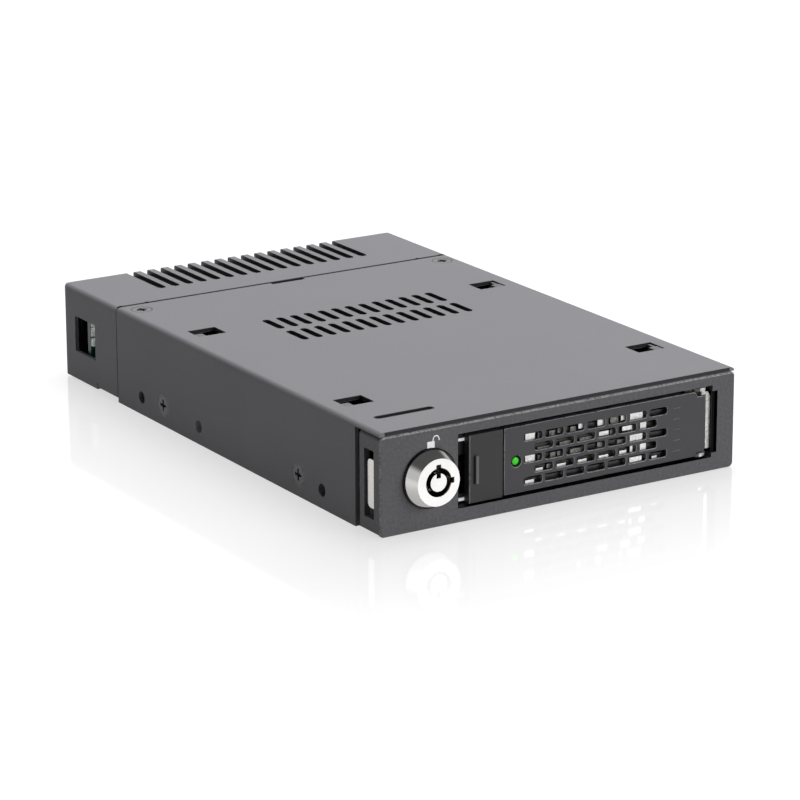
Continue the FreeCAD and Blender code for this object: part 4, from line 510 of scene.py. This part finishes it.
def light_finish():
    """Clear green light pipe with a soft glow from within, painted dark round its rim as the shade of its
    hole.
    """
    made = Finish("light")
    cloud = made.noise(700.0)
    tint = made.ramp(cloud, (0.3, shade(LIGHT_GREEN, 0.55)), (0.7, shade(LIGHT_GREEN, 1.2)))
    made.set(Base_Color=tint, Emission_Color=tint, Emission_Strength=0.6, Roughness=0.22)
    rim = made.inside(made.radius(LIGHT_AXIS), *LENS_RIM)
    made.tint_over(rim, LIGHT_RIM_SHADE)
    made.tint_over(rim, UNLIT, "Emission Color")
    return made


def insert_finish():
    """Thread inserts in a near-black; the middle one has a painted highlight on its upper threads."""
    made = plated_metal("thread_insert", INSERT_BLACK, rough=0.4)
    _, depth, height = made.split(made.place)
    depths, heights = LIT_THREADS
    made.tint_over(made.both(made.inside(depth, *depths), made.inside(height, *heights)), THREAD_HIGHLIGHT)
    return made


def barrel_finish():
    """Bright plating on the lock's face and barrel; the seat ring and the key well are painted darker as
    shade.
    """
    made = plated_metal("lock_barrel", LOCK_PLATING, rough=0.10)
    depth = made.split(made.place)[1]
    well = made.both(made.under(made.radius(LOCK_AXIS), WELL_RADIUS), made.over(depth, WELL_FRONT))
    made.tint_over(made.over(depth, SEAT_FRONT), LOCK_SEAT_SHADE)
    made.tint_over(well, LOCK_WELL_SHADE)
    # The cone reflects as if it leaned further to the front.
    leaned = made.add("ShaderNodeVectorMath", operation="ADD")
    made.feed(leaned.inputs[0], made.add("ShaderNodeNewGeometry").outputs["Normal"])
    made.feed(leaned.inputs[1], (0, -0.55, 0))
    unit = made.add("ShaderNodeVectorMath", operation="NORMALIZE")
    made.feed(unit.inputs[0], leaned.outputs[0])
    made.set(Normal=unit.outputs[0])
    return made


def post_finish():
    """The key post: its end is bright, its sides are painted dark as the shade of the well."""
    made = plated_metal("lock_post", LOCK_PLATING, rough=0.14)
    made.tint_over(made.over(made.split(made.place)[1], POST_END), POST_SIDES_SHADE)
    return made


def bracket_finish():
    """Plate and arms painted dark as shade in the bay; the strip beside the hinge is a lighter, less
    metallic grey.
    """
    made = plated_metal("bracket_steel", BRACKET_SHADE, rough=0.30)
    grain = made.noise(1900.0, 3.0, 0.65)
    low, high = (linear(colour) for colour in HINGE_STRIP_TONES)
    strip_tone = made.ramp(grain, (0.32, low), (0.62, high))
    strip = made.over(made.split(made.place)[0], HINGE_STRIP)
    made.tint_over(strip, strip_tone)
    made.set(Metallic=made.math("SUBTRACT", 1.0, made.math("MULTIPLY", strip, 0.75)))
    return made


def stamped_finish():
    """Punched shield behind the grille: the stock is painted dark as shade, and a face is painted brighter
    as if lit the further it is raised.
    """
    made = Finish("stamped_shield")
    haze = made.noise(1500.0)
    dark, middle, bright = (
        made.ramp(haze, (0.3, linear(low)), (0.7, linear(high)))
        for low, high in (SHIELD_SHADE, SHIELD_HALF_LIT, SHIELD_LIT)
    )
    depth = made.split(made.place)[1]
    full = made.inside(depth, FULL_RAISED - 0.2, FULL_RAISED + 0.08)
    made.set(
        Base_Color=dark,
        Roughness=made.around(haze, 0.4, 0.1, 0.1),
        Metallic=made.math("MULTIPLY", full, 0.55),
    )
    made.tint_over(made.inside(depth, HALF_RAISED - 0.08, HALF_RAISED + 0.08), middle)
    made.tint_over(full, bright)
    return made


def mark_finish():
    """Bright white print with a faint painted glow; also painted highlights on small parts."""
    made = moulded_plastic("mark_white", PRINT_AND_HIGHLIGHT_WHITE, rough=0.6)
    made.set(Emission_Color=WHITE, Emission_Strength=0.45)
    return made


def solder_finish():
    """Tinned pads and small silver parts, speckled with flux; they glow faintly, which is painted light."""
    made = Finish("solder")
    specks = made.noise(1100.0, 2.0, 0.6)
    low, high = (linear(colour) for colour in SOLDER)
    tint = made.ramp(specks, (0.30, low), (0.62, high))
    made.set(Base_Color=tint, Emission_Color=tint, Emission_Strength=0.3)
    made.set(Roughness=made.around(specks, 0.4, 0.1, 0.1))
    return made


def corner_screw_finish():
    """Countersunk screw in the case's grey; its socket and the rim round its head are painted dark as shade,
    with a painted highlight point in the middle.
    """
    made = textured_paint(
        "corner_screw", CORNER_SCREW_GREY, grain=1500.0, depth=0.00001, contrast=0.08, rough=0.35
    )
    across, depth, _ = made.split(made.place)
    screw_across, screw_depth = HOOD_SCREW
    side = made.away(made.math("ABSOLUTE", across), screw_across)
    far = made.hypot(side, made.away(depth, screw_depth))
    point, socket, head, rim = 0.5, 1.25, 2.5, 3.4
    # Painted shade in the socket and round the head, and a painted highlight at the middle.
    made.tint_over(made.inside(far, point, socket), CORNER_SOCKET_SHADE)
    made.tint_over(made.under(far, point), PRINT_AND_HIGHLIGHT_WHITE)
    made.tint_over(made.inside(far, head, rim), CORNER_RIM_SHADE)
    return made


def side_screw_finish():
    """Low screw on the side, painted with the case; its socket and rim are painted dark as shade."""
    made = textured_paint(
        "side_screw", SIDE_SCREW_GREY, grain=1500.0, depth=0.00001, contrast=0.10, rough=0.35
    )
    _, depth, height = made.split(made.place)
    reaches = [made.math("ABSOLUTE", made.away(depth, spot)) for spot in SIDE_SCREWS]
    far = made.hypot(made.away(height, SIDE_SCREW_HIGH), made.math("MINIMUM", *reaches))
    socket, head, rim = 0.75, 2.2, 3.4
    made.tint_over(made.under(far, socket), SIDE_SOCKET_SHADE)
    made.tint_over(made.inside(far, head, rim), SIDE_RIM_SHADE)
    return made


FINISHES = [
    case_finish(),
    bezel_finish(),
    door_finish(),
    button_finish(),
    light_finish(),
    insert_finish(),
    barrel_finish(),
    post_finish(),
    bracket_finish(),
    stamped_finish(),
    mark_finish(),
    solder_finish(),
    corner_screw_finish(),
    side_screw_finish(),
    textured_paint("tab_paint", TAB_SHADED_GREY, grain=1500.0, depth=0.00002, contrast=0.05, rough=0.55),
    moulded_plastic("black_plastic", BLACK, rough=0.5),
    moulded_plastic("connector_black", BLACK, rough=0.38),
    moulded_plastic("connector_white", IVORY, rough=0.4),
    brushed_metal("bright_steel", STEEL, rough=0.25),
    brushed_metal("tray_metal", ZINC, rough=0.30),
    plated_metal("dark_steel", SCREW, rough=0.32),
    plated_metal("gold", GOLD, rough=0.2),
    circuit_board("board_green", BOARD_GREEN),
]
MATERIALS = {made.name: made.material for made in FINISHES}

# Nodes whose finish differs from their slot's plain one.
OWN_FINISH = {
    "lock_housing": "lock_barrel",
    "lock_core": "lock_post",
    "lever_bracket": "bracket_steel",
    "hood_screws": "corner_screw",
    "side_screws": "side_screw",
    "thread_inserts": "thread_insert",
}

# Widths of the fine bevels on moulded pieces.
SOFT_EDGES = {"front_bezel": 0.22, "release_button": 0.14, "power_port": 0.15, "data_port": 0.1}


def dress_cad():
    """Give each CAD node its finish, and fine bevels where moulded edges catch light."""
    for entry in frame["record"]["subparts"]:
        item = nodes[entry["node"]]
        item.data.materials.clear()
        name = OWN_FINISH.get(entry["node"], entry["material_slot"])
        item.data.materials.append(MATERIALS[name])
    for name, width in SOFT_EDGES.items():
        bevel = nodes[name].modifiers.new("soft_edges", "BEVEL")
        bevel.width = width * MM
        bevel.segments = 2
        bevel.limit_method = "ANGLE"
        bevel.angle_limit = math.radians(50)


# ---------------------------------------------------------------- pieces in mesh code


def settle(name, mesh, body, finish):
    """Make a piece of a mesh, dress it and tie it to a body."""
    mesh.name = name
    item = bpy.data.objects.new(name, mesh)
    bpy.context.scene.collection.objects.link(item)
    item.data.materials.append(MATERIALS[finish])
    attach(item, body)
    return item


def round_box(left, right, low, high, radius, steps=5):
    """Outline of a box in X and Z with round corners, anticlockwise."""
    corners = (
        (right - radius, high - radius, 0),
        (left + radius, high - radius, 90),
        (left + radius, low + radius, 180),
        (right - radius, low + radius, 270),
    )
    points = []
    for across, up, start in corners:
        for step in range(steps + 1):
            turn = math.radians(start + 90 * step / steps)
            points.append((across + radius * math.cos(turn), up + radius * math.sin(turn)))
    return points


def curve_mesh(curve):
    """The mesh of a curve."""
    item = bpy.data.objects.new("curve", curve)
    mesh = bpy.data.meshes.new_from_object(item)
    bpy.data.objects.remove(item)
    return mesh


def plate_mesh(outline, openings, front, thick, edge):
    """A plate facing the front with openings, every rim rounded by an edge radius."""
    flat = bpy.data.curves.new("flat", "CURVE")
    flat.dimensions = "2D"
    flat.fill_mode = "BOTH"
    flat.extrude = (thick / 2 - edge) * MM
    flat.bevel_depth = edge * MM
    flat.bevel_resolution = 1
    flat.offset = -edge * MM
    for points in (outline, *[ring[::-1] for ring in openings]):
        spline = flat.splines.new("POLY")
        spline.points.add(len(points) - 1)
        for point, (across, up) in zip(spline.points, points):
            point.co = (across * MM, up * MM, 0, 1)
        spline.use_cyclic_u = True
    mesh = curve_mesh(flat)
    place = Matrix.Translation((0, (front + thick / 2) * MM, 0)) @ Matrix.Rotation(math.pi / 2, 4, "X")
    mesh.transform(place)
    return mesh


def finished_mesh(made):
    """The mesh of a bmesh, which is freed."""
    mesh = bpy.data.meshes.new("piece")
    made.to_mesh(mesh)
    made.free()
    return mesh


def blocks_mesh(boxes, edge):
    """Small blocks (left, right, front, back, low, high) with rounded edges, as one mesh."""
    made = bmesh.new()
    for left, right, front, back, low, high in boxes:
        middle = Vector(((left + right) / 2, (front + back) / 2, (low + high) / 2)) * MM
        size = Vector((right - left, back - front, high - low)) * MM
        place = Matrix.Translation(middle) @ Matrix.Diagonal((*size, 1))
        bmesh.ops.create_cube(made, size=1, matrix=place)
    bmesh.ops.bevel(made, geom=made.edges[:], offset=edge * MM, segments=2, affect="EDGES", profile=0.5)
    return finished_mesh(made)


def mirrored(inner, outer, *rest):
    """The same block on the left and on the right."""
    return [(*sorted((side * inner, side * outer)), *rest) for side in (-1, 1)]


def join_meshes(meshes):
    """Several meshes as one."""
    made = bmesh.new()
    for mesh in meshes:
        made.from_mesh(mesh)
    return finished_mesh(made)


def row_height(row):
    return ROW_MIDDLE + ROW_PITCH * row


def slot_spots():
    """Centre of each of the grille's slots, by row and place; odd rows are a slot shorter."""
    spots = {}
    for row in ROWS:
        short = row % 2
        for place in range(ROW_SLOTS - short):
            spots[row, place] = (SLOT_FIRST + SLOT_PITCH * (place + short / 2), row_height(row))
    return spots


def door_outline(low, high):
    """The door's outline, which narrows in two steps to a lip at the hinge."""
    start, middle, lip = 39.0, 39.8, 40.2
    step, lip_low, lip_high = 0.4, 1.05, 1.3
    return [
        (low.x, low.z), (start, low.z), (middle, low.z + step), (lip, low.z + lip_low),
        (high.x, low.z + lip_low), (high.x, high.z - lip_high),
        (lip, high.z - lip_high), (middle, high.z - step), (start, high.z), (low.x, high.z),
    ]


def make_grille():
    """Door panel: thin skin with staggered slots over a hollow frame, and a lip at the hinge."""
    low, high = span("lever_grille")
    low.z += DOOR_TRIM
    openings = [
        round_box(across - SLOT_HALF, across + SLOT_HALF, up - SLOT_RISE, up + SLOT_RISE, SLOT_CORNER)
        for across, up in slot_spots().values()
    ]
    left, right = LIGHT_AXIS.x - LIGHT_HOLE, LIGHT_AXIS.x + LIGHT_HOLE
    light = round_box(left, right, ROW_MIDDLE - LIGHT_HOLE, ROW_MIDDLE + LIGHT_HOLE, LIGHT_HOLE, 8)
    skin = plate_mesh(door_outline(low, high), [*openings, light], low.y, SKIN_THICK, 0.14)
    back = low.y + SKIN_THICK - LAP
    border = round_box(low.x + 0.05, 36.4, low.z + 0.05, high.z - 0.05, 0.3)
    rim = plate_mesh(border, [round_box(*HOLLOW, 0.4), light], back, FRAME_THICK, 0.05)
    end = plate_mesh(round_box(36.0, 40.0, low.z + 0.15, high.z - 0.15, 0.3), [], back, END_THICK, 0.05)
    dashes = [
        (*DASH, low.y - 0.07, low.y + 0.2, row_height(row) - DASH_RISE, row_height(row) + DASH_RISE)
        for row in ROWS
    ]
    mesh = join_meshes([skin, rim, end, blocks_mesh(dashes, 0.05)])
    grille = settle("door_grille", mesh, "lever", "door_plastic")
    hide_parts("lever_grille")


# Raised faces seen through the slots: row, place, start and end along the slot, lower and upper
# edge in the slot, and whether the face is fully raised.
RAISED = [
    (2, 0, 0.0, 0.53, 0, 1, 1), (2, 0, 0.68, 1.0, 0.1, 0.9, 0), (2, 1, 0.15, 0.45, 0, 0.8, 0),
    (2, 1, 0.62, 0.95, 0.3, 1, 0), (2, 2, 0.15, 0.45, 0, 0.8, 0), (2, 2, 0.6, 0.95, 0.3, 1, 1),
    (2, 3, 0.5, 0.95, 0.2, 1, 1), (2, 4, 0.05, 0.5, 0, 1, 0), (2, 4, 0.65, 0.95, 0.3, 1, 1),
    (2, 5, 0.0, 0.72, 0.1, 1, 1),
    (0, 0, 0.0, 0.53, 0, 1, 1), (0, 0, 0.68, 1.0, 0.1, 0.8, 0), (0, 1, 0.2, 0.5, 0, 0.8, 0),
    (0, 1, 0.6, 1.0, 0.2, 0.8, 0), (0, 2, 0.15, 0.8, 0, 0.7, 0), (0, 3, 0.5, 0.95, 0.2, 0.9, 0),
    (0, 4, 0.45, 0.95, 0.2, 0.7, 0), (0, 5, 0.0, 0.72, 0.1, 1, 1),
    (-2, 0, 0.0, 0.5, 0.1, 0.6, 1), (-2, 5, 0.0, 0.7, 0.15, 0.85, 1), (-2, 6, 0.1, 0.4, 0, 0.45, 1),
    (1, 0, 0.1, 0.9, 0, 0.35, 0), (1, 1, 0.15, 0.95, 0, 0.5, 0), (1, 2, 0.1, 0.95, 0, 0.5, 0),
    (1, 3, 0.0, 0.55, 0.2, 0.8, 1), (1, 3, 0.62, 1.0, 0.2, 0.8, 0), (1, 4, 0.15, 0.7, 0.3, 0.9, 1),
    (1, 4, 0.65, 0.95, 0.1, 0.9, 0), (1, 5, 0.0, 0.35, 0, 1, 1),
    (-1, 0, 0.0, 0.4, 0.05, 0.5, 1), (-1, 0, 0.6, 1.0, 0.2, 0.8, 0), (-1, 1, 0.0, 0.5, 0.05, 0.5, 1),
    (-1, 2, 0.0, 0.5, 0.05, 0.5, 1), (-1, 3, 0.0, 0.55, 0.05, 0.5, 1), (-1, 4, 0.0, 0.4, 0.05, 0.6, 1),
    (-1, 4, 0.6, 0.75, 0, 1, 1), (-1, 5, 0.0, 0.35, 0, 1, 1),
]
# A strip lies lower than its row, and a face further right and lower than its slot, so that it
# shows there from the front left.
SHIELD_STRIP = (-10.7, 31.4, 2.3, 2.62)  # left, right, front and back
STRIP_RISE = 0.55
STRIP_DROP = 0.5
SKIN_BACK = 0.8
FACE_SLIDE = 0.64  # per millimetre behind the skin
FACE_DROP = 0.39
FACE_START = 0.3


def make_shield():
    """Punched shield in the lever's hollow: a strip behind each row with raised faces."""
    boxes = []
    for row in ROWS:
        up = row_height(row) - STRIP_DROP
        boxes.append((*SHIELD_STRIP, up - STRIP_RISE, up + STRIP_RISE))
    spots = slot_spots()
    for row, place, start, end, bottom, top, full in RAISED:
        across, up = spots[row, place]
        front = FULL_RAISED if full else HALF_RAISED
        first = across - SLOT_HALF + (front - SKIN_BACK) * FACE_SLIDE + FACE_START
        under = up - SLOT_RISE - (front - SKIN_BACK) * FACE_DROP
        left, right = (first + 2 * SLOT_HALF * share for share in (start, end))
        low, high = (under + 2 * SLOT_RISE * share for share in (bottom, top))
        boxes.append((left, min(right, 31.5), front, 2.4, low, high))
    settle("punched_shield", blocks_mesh(boxes, 0.07), "lever", "stamped_shield")


def make_padlock_mark():
    """A small printed padlock above the lock, its shackle swung open."""
    body = blocks_mesh([(-37.95, -35.98, -0.06, 0.02, 19.31, 21.27)], 0.02)
    line = bpy.data.curves.new("shackle", "CURVE")
    line.dimensions = "3D"
    line.bevel_depth = 0.14 * MM
    line.bevel_resolution = 2
    line.use_fill_caps = True
    spline = line.splines.new("NURBS")
    points = ((-36.45, 21.1), (-36.35, 21.9), (-36.0, 22.4), (-35.4, 22.5), (-34.85, 22.2), (-34.65, 21.3))
    spline.points.add(len(points) - 1)
    for point, (across, up) in zip(spline.points, points):
        point.co = (across * MM, -0.02 * MM, up * MM, 1)
    spline.order_u = 3
    spline.use_endpoint_u = True
    shackle = curve_mesh(line)
    flatness = 0.35
    for vertex in shackle.vertices:
        vertex.co.y *= flatness
    settle("padlock_mark", join_meshes([body, shackle]), "cage", "mark_white")


def make_gap_pins():
    """Bright ends of the tray's cross wires beside the release button, glowing white as painted highlights.
    """
    upper = (-27.4, -23.8, 3.02, 3.29, 18.8, 19.5)
    lower = (-27.3, -24.0, 3.02, 3.29, 4.1, 4.75)
    settle("tray_wires", blocks_mesh([upper, lower], 0.12), "tray", "mark_white")


def make_hood_shade_sheets():
    """Black sheets under the hood's roof and inside its rear wall, standing in for the shade there, with two
    dark strips.
    """
    wall = (157.85, 158.12)
    roof = (-48.9, 48.9, 131.0, 157.9, 24.1, 24.36)
    upper_wall = (-48.9, 48.9, *wall, 19.0, 24.2)
    shade_sheets = [roof, upper_wall, *mirrored(41.0, 49.6, *wall, 2.0, 19.0)]
    settle("hood_shade_sheets", blocks_mesh(shade_sheets, 0.05), "cage", "black_plastic")
    strips = mirrored(46.2, 46.5, 157.6, 157.86, 3.0, 17.0)
    settle("rear_wall_strips", blocks_mesh(strips, 0.04), "cage", "dark_steel")


def make_board_parts():
    """Small parts on the rear board beside each side window."""
    back = REAR_BOARD_FRONT + 0.01
    bright, dark = [], []
    for inner, outer, stand, low, high in (
        (46.8, 49.2, 0.5, 13.2, 15.6), (47.1, 48.0, 0.9, 16.0, 17.8), (48.3, 49.2, 0.7, 15.9, 17.9),
        (48.0, 49.2, 1.0, 10.7, 12.8), (46.9, 47.7, 0.6, 11.4, 12.8), (46.6, 47.0, 0.4, 9.2, 10.2),
    ):
        bright += mirrored(inner, outer, REAR_BOARD_FRONT - stand, back, low, high)
    for stand, low, high in ((1.4, 6.0, 9.5), (1.8, 12.0, 16.5)):
        dark += mirrored(44.2, 46.6, REAR_BOARD_FRONT - stand, back, low, high)
    settle("board_chips", blocks_mesh(bright, 0.08), "cage", "solder")
    settle("board_parts", blocks_mesh(dark, 0.12), "cage", "connector_black")


def make_hole_glints():
    """Glowing white blocks behind the middle thread hole on each side: a painted highlight in the hole."""
    ends = mirrored(49.45, 49.78, 85.5, 86.7, 4.3, 5.6)
    settle("hole_glints", blocks_mesh(ends, 0.12), "cage", "mark_white")


def make_lance_tabs():
    """Pressed tabs at the outer front corner of each opening in the roof, in a darker grey that is painted
    shade.
    """
    tabs = []
    for front in LANCES:
        tabs += mirrored(43.5, 46.05, front + 0.05, front + 3.2, 24.75, 25.2)
    settle("lance_tabs", blocks_mesh(tabs, 0.18), "cage", "tab_paint")


def make_light_lens():
    """Domed end of the light pipe, turned from its profile."""
    centre = Vector((LIGHT_AXIS.x, 0, LIGHT_AXIS.z)) * MM
    profile = ((1.02, 1.98), (1.02, 1.42), (0.94, 1.22), (0.72, 1.07), (0.38, 0.99), (0.0, 0.97))
    made = bmesh.new()
    points = [made.verts.new(centre + Vector((reach * MM, back * MM, 0))) for reach, back in profile]
    edges = [made.edges.new(pair) for pair in zip(points, points[1:])]
    turn = {"cent": centre, "axis": (0, 1, 0), "angle": 2 * math.pi, "steps": 24}
    bmesh.ops.spin(made, geom=points + edges, use_merge=True, **turn)
    bmesh.ops.remove_doubles(made, verts=made.verts[:], dist=0.01 * MM)
    bmesh.ops.recalc_face_normals(made, faces=made.faces[:])
    mesh = finished_mesh(made)
    mesh.shade_smooth()
    settle("light_lens", mesh, "tray", "light")


def make_contacts():
    """Gold contacts on the tongues inside the two ports."""
    pitch, half, thick = 1.27, 0.35, 0.12
    front, back = 153.2, 157.4
    contacts = []
    for port, count in (("data_port", 7), ("power_port", 15)):
        middle = middle_of(port)
        top = middle.z + 0.62
        for index in range(count):
            across = middle.x + pitch * (index - (count - 1) / 2)
            contacts.append((across - half, across + half, front, back, top, top + thick))
    settle("port_contacts", blocks_mesh(contacts, 0.03), "cage", "gold")


# ---------------------------------------------------------------- stage, light and camera

# Strengths of the world on surfaces, in reflections low down and in reflections from above.
WORLD_LIGHT = 0.035
WORLD_GLOSS = 0.85
CEILING_GLOSS = 0.12
CEILING = (0.42, 0.62)  # upward share of a direction where the reflections fade

# The floor's tint for lit surfaces and for the eye, its glow, and what the polish takes off that.
BOUNCE = 0.18
FLOOR_SEEN = 0.3
FLOOR_GLOW = 0.87
FLOOR_MIRRORED = 0.225
FLOOR_FADE = 0.075  # metres over which the polish ends round the object


def footprint_distance(made):
    """Distance over the floor from the object's outline."""
    low, high = cad_box
    sides = []
    for along, start, end in zip(made.split(made.place)[:2], low, high):
        before = made.math("SUBTRACT", start, along)
        after = made.math("SUBTRACT", along, end)
        sides.append(made.math("MAXIMUM", made.math("MAXIMUM", before, after), 0.0))
    return made.hypot(*sides)


def backdrop_material():
    """Glossy white board: white where it is seen, with the object's reflection and soft shadow."""
    made = Finish("backdrop")
    path = made.add("ShaderNodeLightPath").outputs
    seen = made.math("MAXIMUM", path["Is Camera Ray"], path["Is Glossy Ray"])
    near = made.remap(footprint_distance(made), (0.0, FLOOR_FADE), (1.0, 0.0))
    polish = made.math("POWER", near, 1.4)
    glow = made.math("SUBTRACT", FLOOR_GLOW, made.math("MULTIPLY", polish, FLOOR_MIRRORED))
    made.set(
        Base_Color=made.ramp(seen, (0.0, (*[BOUNCE] * 3, 1)), (1.0, (*[FLOOR_SEEN] * 3, 1))),
        Specular_IOR_Level=polish,
        Roughness=0.07,
        Emission_Color=WHITE,
        Emission_Strength=made.math("MULTIPLY", glow, seen),
    )
    return made.material


def make_stage():
    """The floor, which also reaches behind the object."""
    bpy.ops.mesh.primitive_plane_add(size=6.0, location=(0, 0, -0.02 * MM))
    floor = bpy.context.object
    floor.name = "floor"
    floor.data.materials.append(backdrop_material())


def make_world():
    """Dim light for surfaces; white where it is seen, and in reflections that run low."""
    world = bpy.data.worlds.new("soft_world")
    world.use_nodes = True
    made = Nodes(world.node_tree)
    path = made.add("ShaderNodeLightPath").outputs
    upward = made.split(made.add("ShaderNodeTexCoord").outputs["Generated"])[2]
    gloss = made.remap(upward, CEILING, (WORLD_GLOSS, CEILING_GLOSS))
    unseen = made.remap(path["Is Glossy Ray"], (0.0, 1.0), (WORLD_LIGHT, gloss))
    seen = made.math("MAXIMUM", path["Is Camera Ray"], path["Is Transmission Ray"])
    background = made.tree.nodes["Background"]
    made.feed(background.inputs["Color"], WHITE)
    made.feed(background.inputs["Strength"], made.math("MAXIMUM", seen, unseen))
    bpy.context.scene.world = world


def area_light(name, place, size, power):
    """A rectangular lamp aimed at the object; place and size in metres, power in watts."""
    data = bpy.data.lights.new(name, "AREA")
    data.shape = "RECTANGLE"
    data.size, data.size_y = size
    data.energy = power
    item = bpy.data.objects.new(name, data)
    bpy.context.scene.collection.objects.link(item)
    item.location = place
    aim = Vector((0, 0.07, 0.01)) - Vector(place)
    item.rotation_euler = aim.to_track_quat("-Z", "Y").to_euler()
    return item


def make_lights():
    """A broad lamp overhead, kept out of reflections, and a fill at the front right."""
    overhead = area_light("overhead", (0.30, 0.25, 1.3), (1.1, 1.1), 13.0)
    overhead.visible_glossy = False
    area_light("front_fill", (0.55, -1.1, 0.45), (0.9, 0.6), 6.0)


def make_camera():
    """The camera stands in front, to the left and above."""
    data = bpy.data.cameras.new("camera")
    data.sensor_width = 36.0
    data.lens = 162.63
    data.shift_y = -0.0025
    data.clip_start = 0.01
    item = bpy.data.objects.new("camera", data)
    bpy.context.scene.collection.objects.link(item)
    place = Vector((-464.72, -671.31, 272.40)) * MM
    azimuth, elevation, roll = (math.radians(turn) for turn in (-31.994, 16.818, -0.185))
    turn = (
        Matrix.Rotation(azimuth, 4, "Z")
        @ Matrix.Rotation(math.pi / 2 - elevation, 4, "X")
        @ Matrix.Rotation(roll, 4, "Z")
    )
    item.matrix_world = Matrix.Translation(place) @ turn
    bpy.context.scene.camera = item


bpy.context.scene.view_settings.view_transform = "Standard"
dress_cad()
make_grille()
make_shield()
make_padlock_mark()
make_gap_pins()
make_hood_shade_sheets()
make_board_parts()
make_hole_glints()
make_lance_tabs()
make_light_lens()
make_contacts()
make_stage()
make_world()
make_lights()
make_camera()
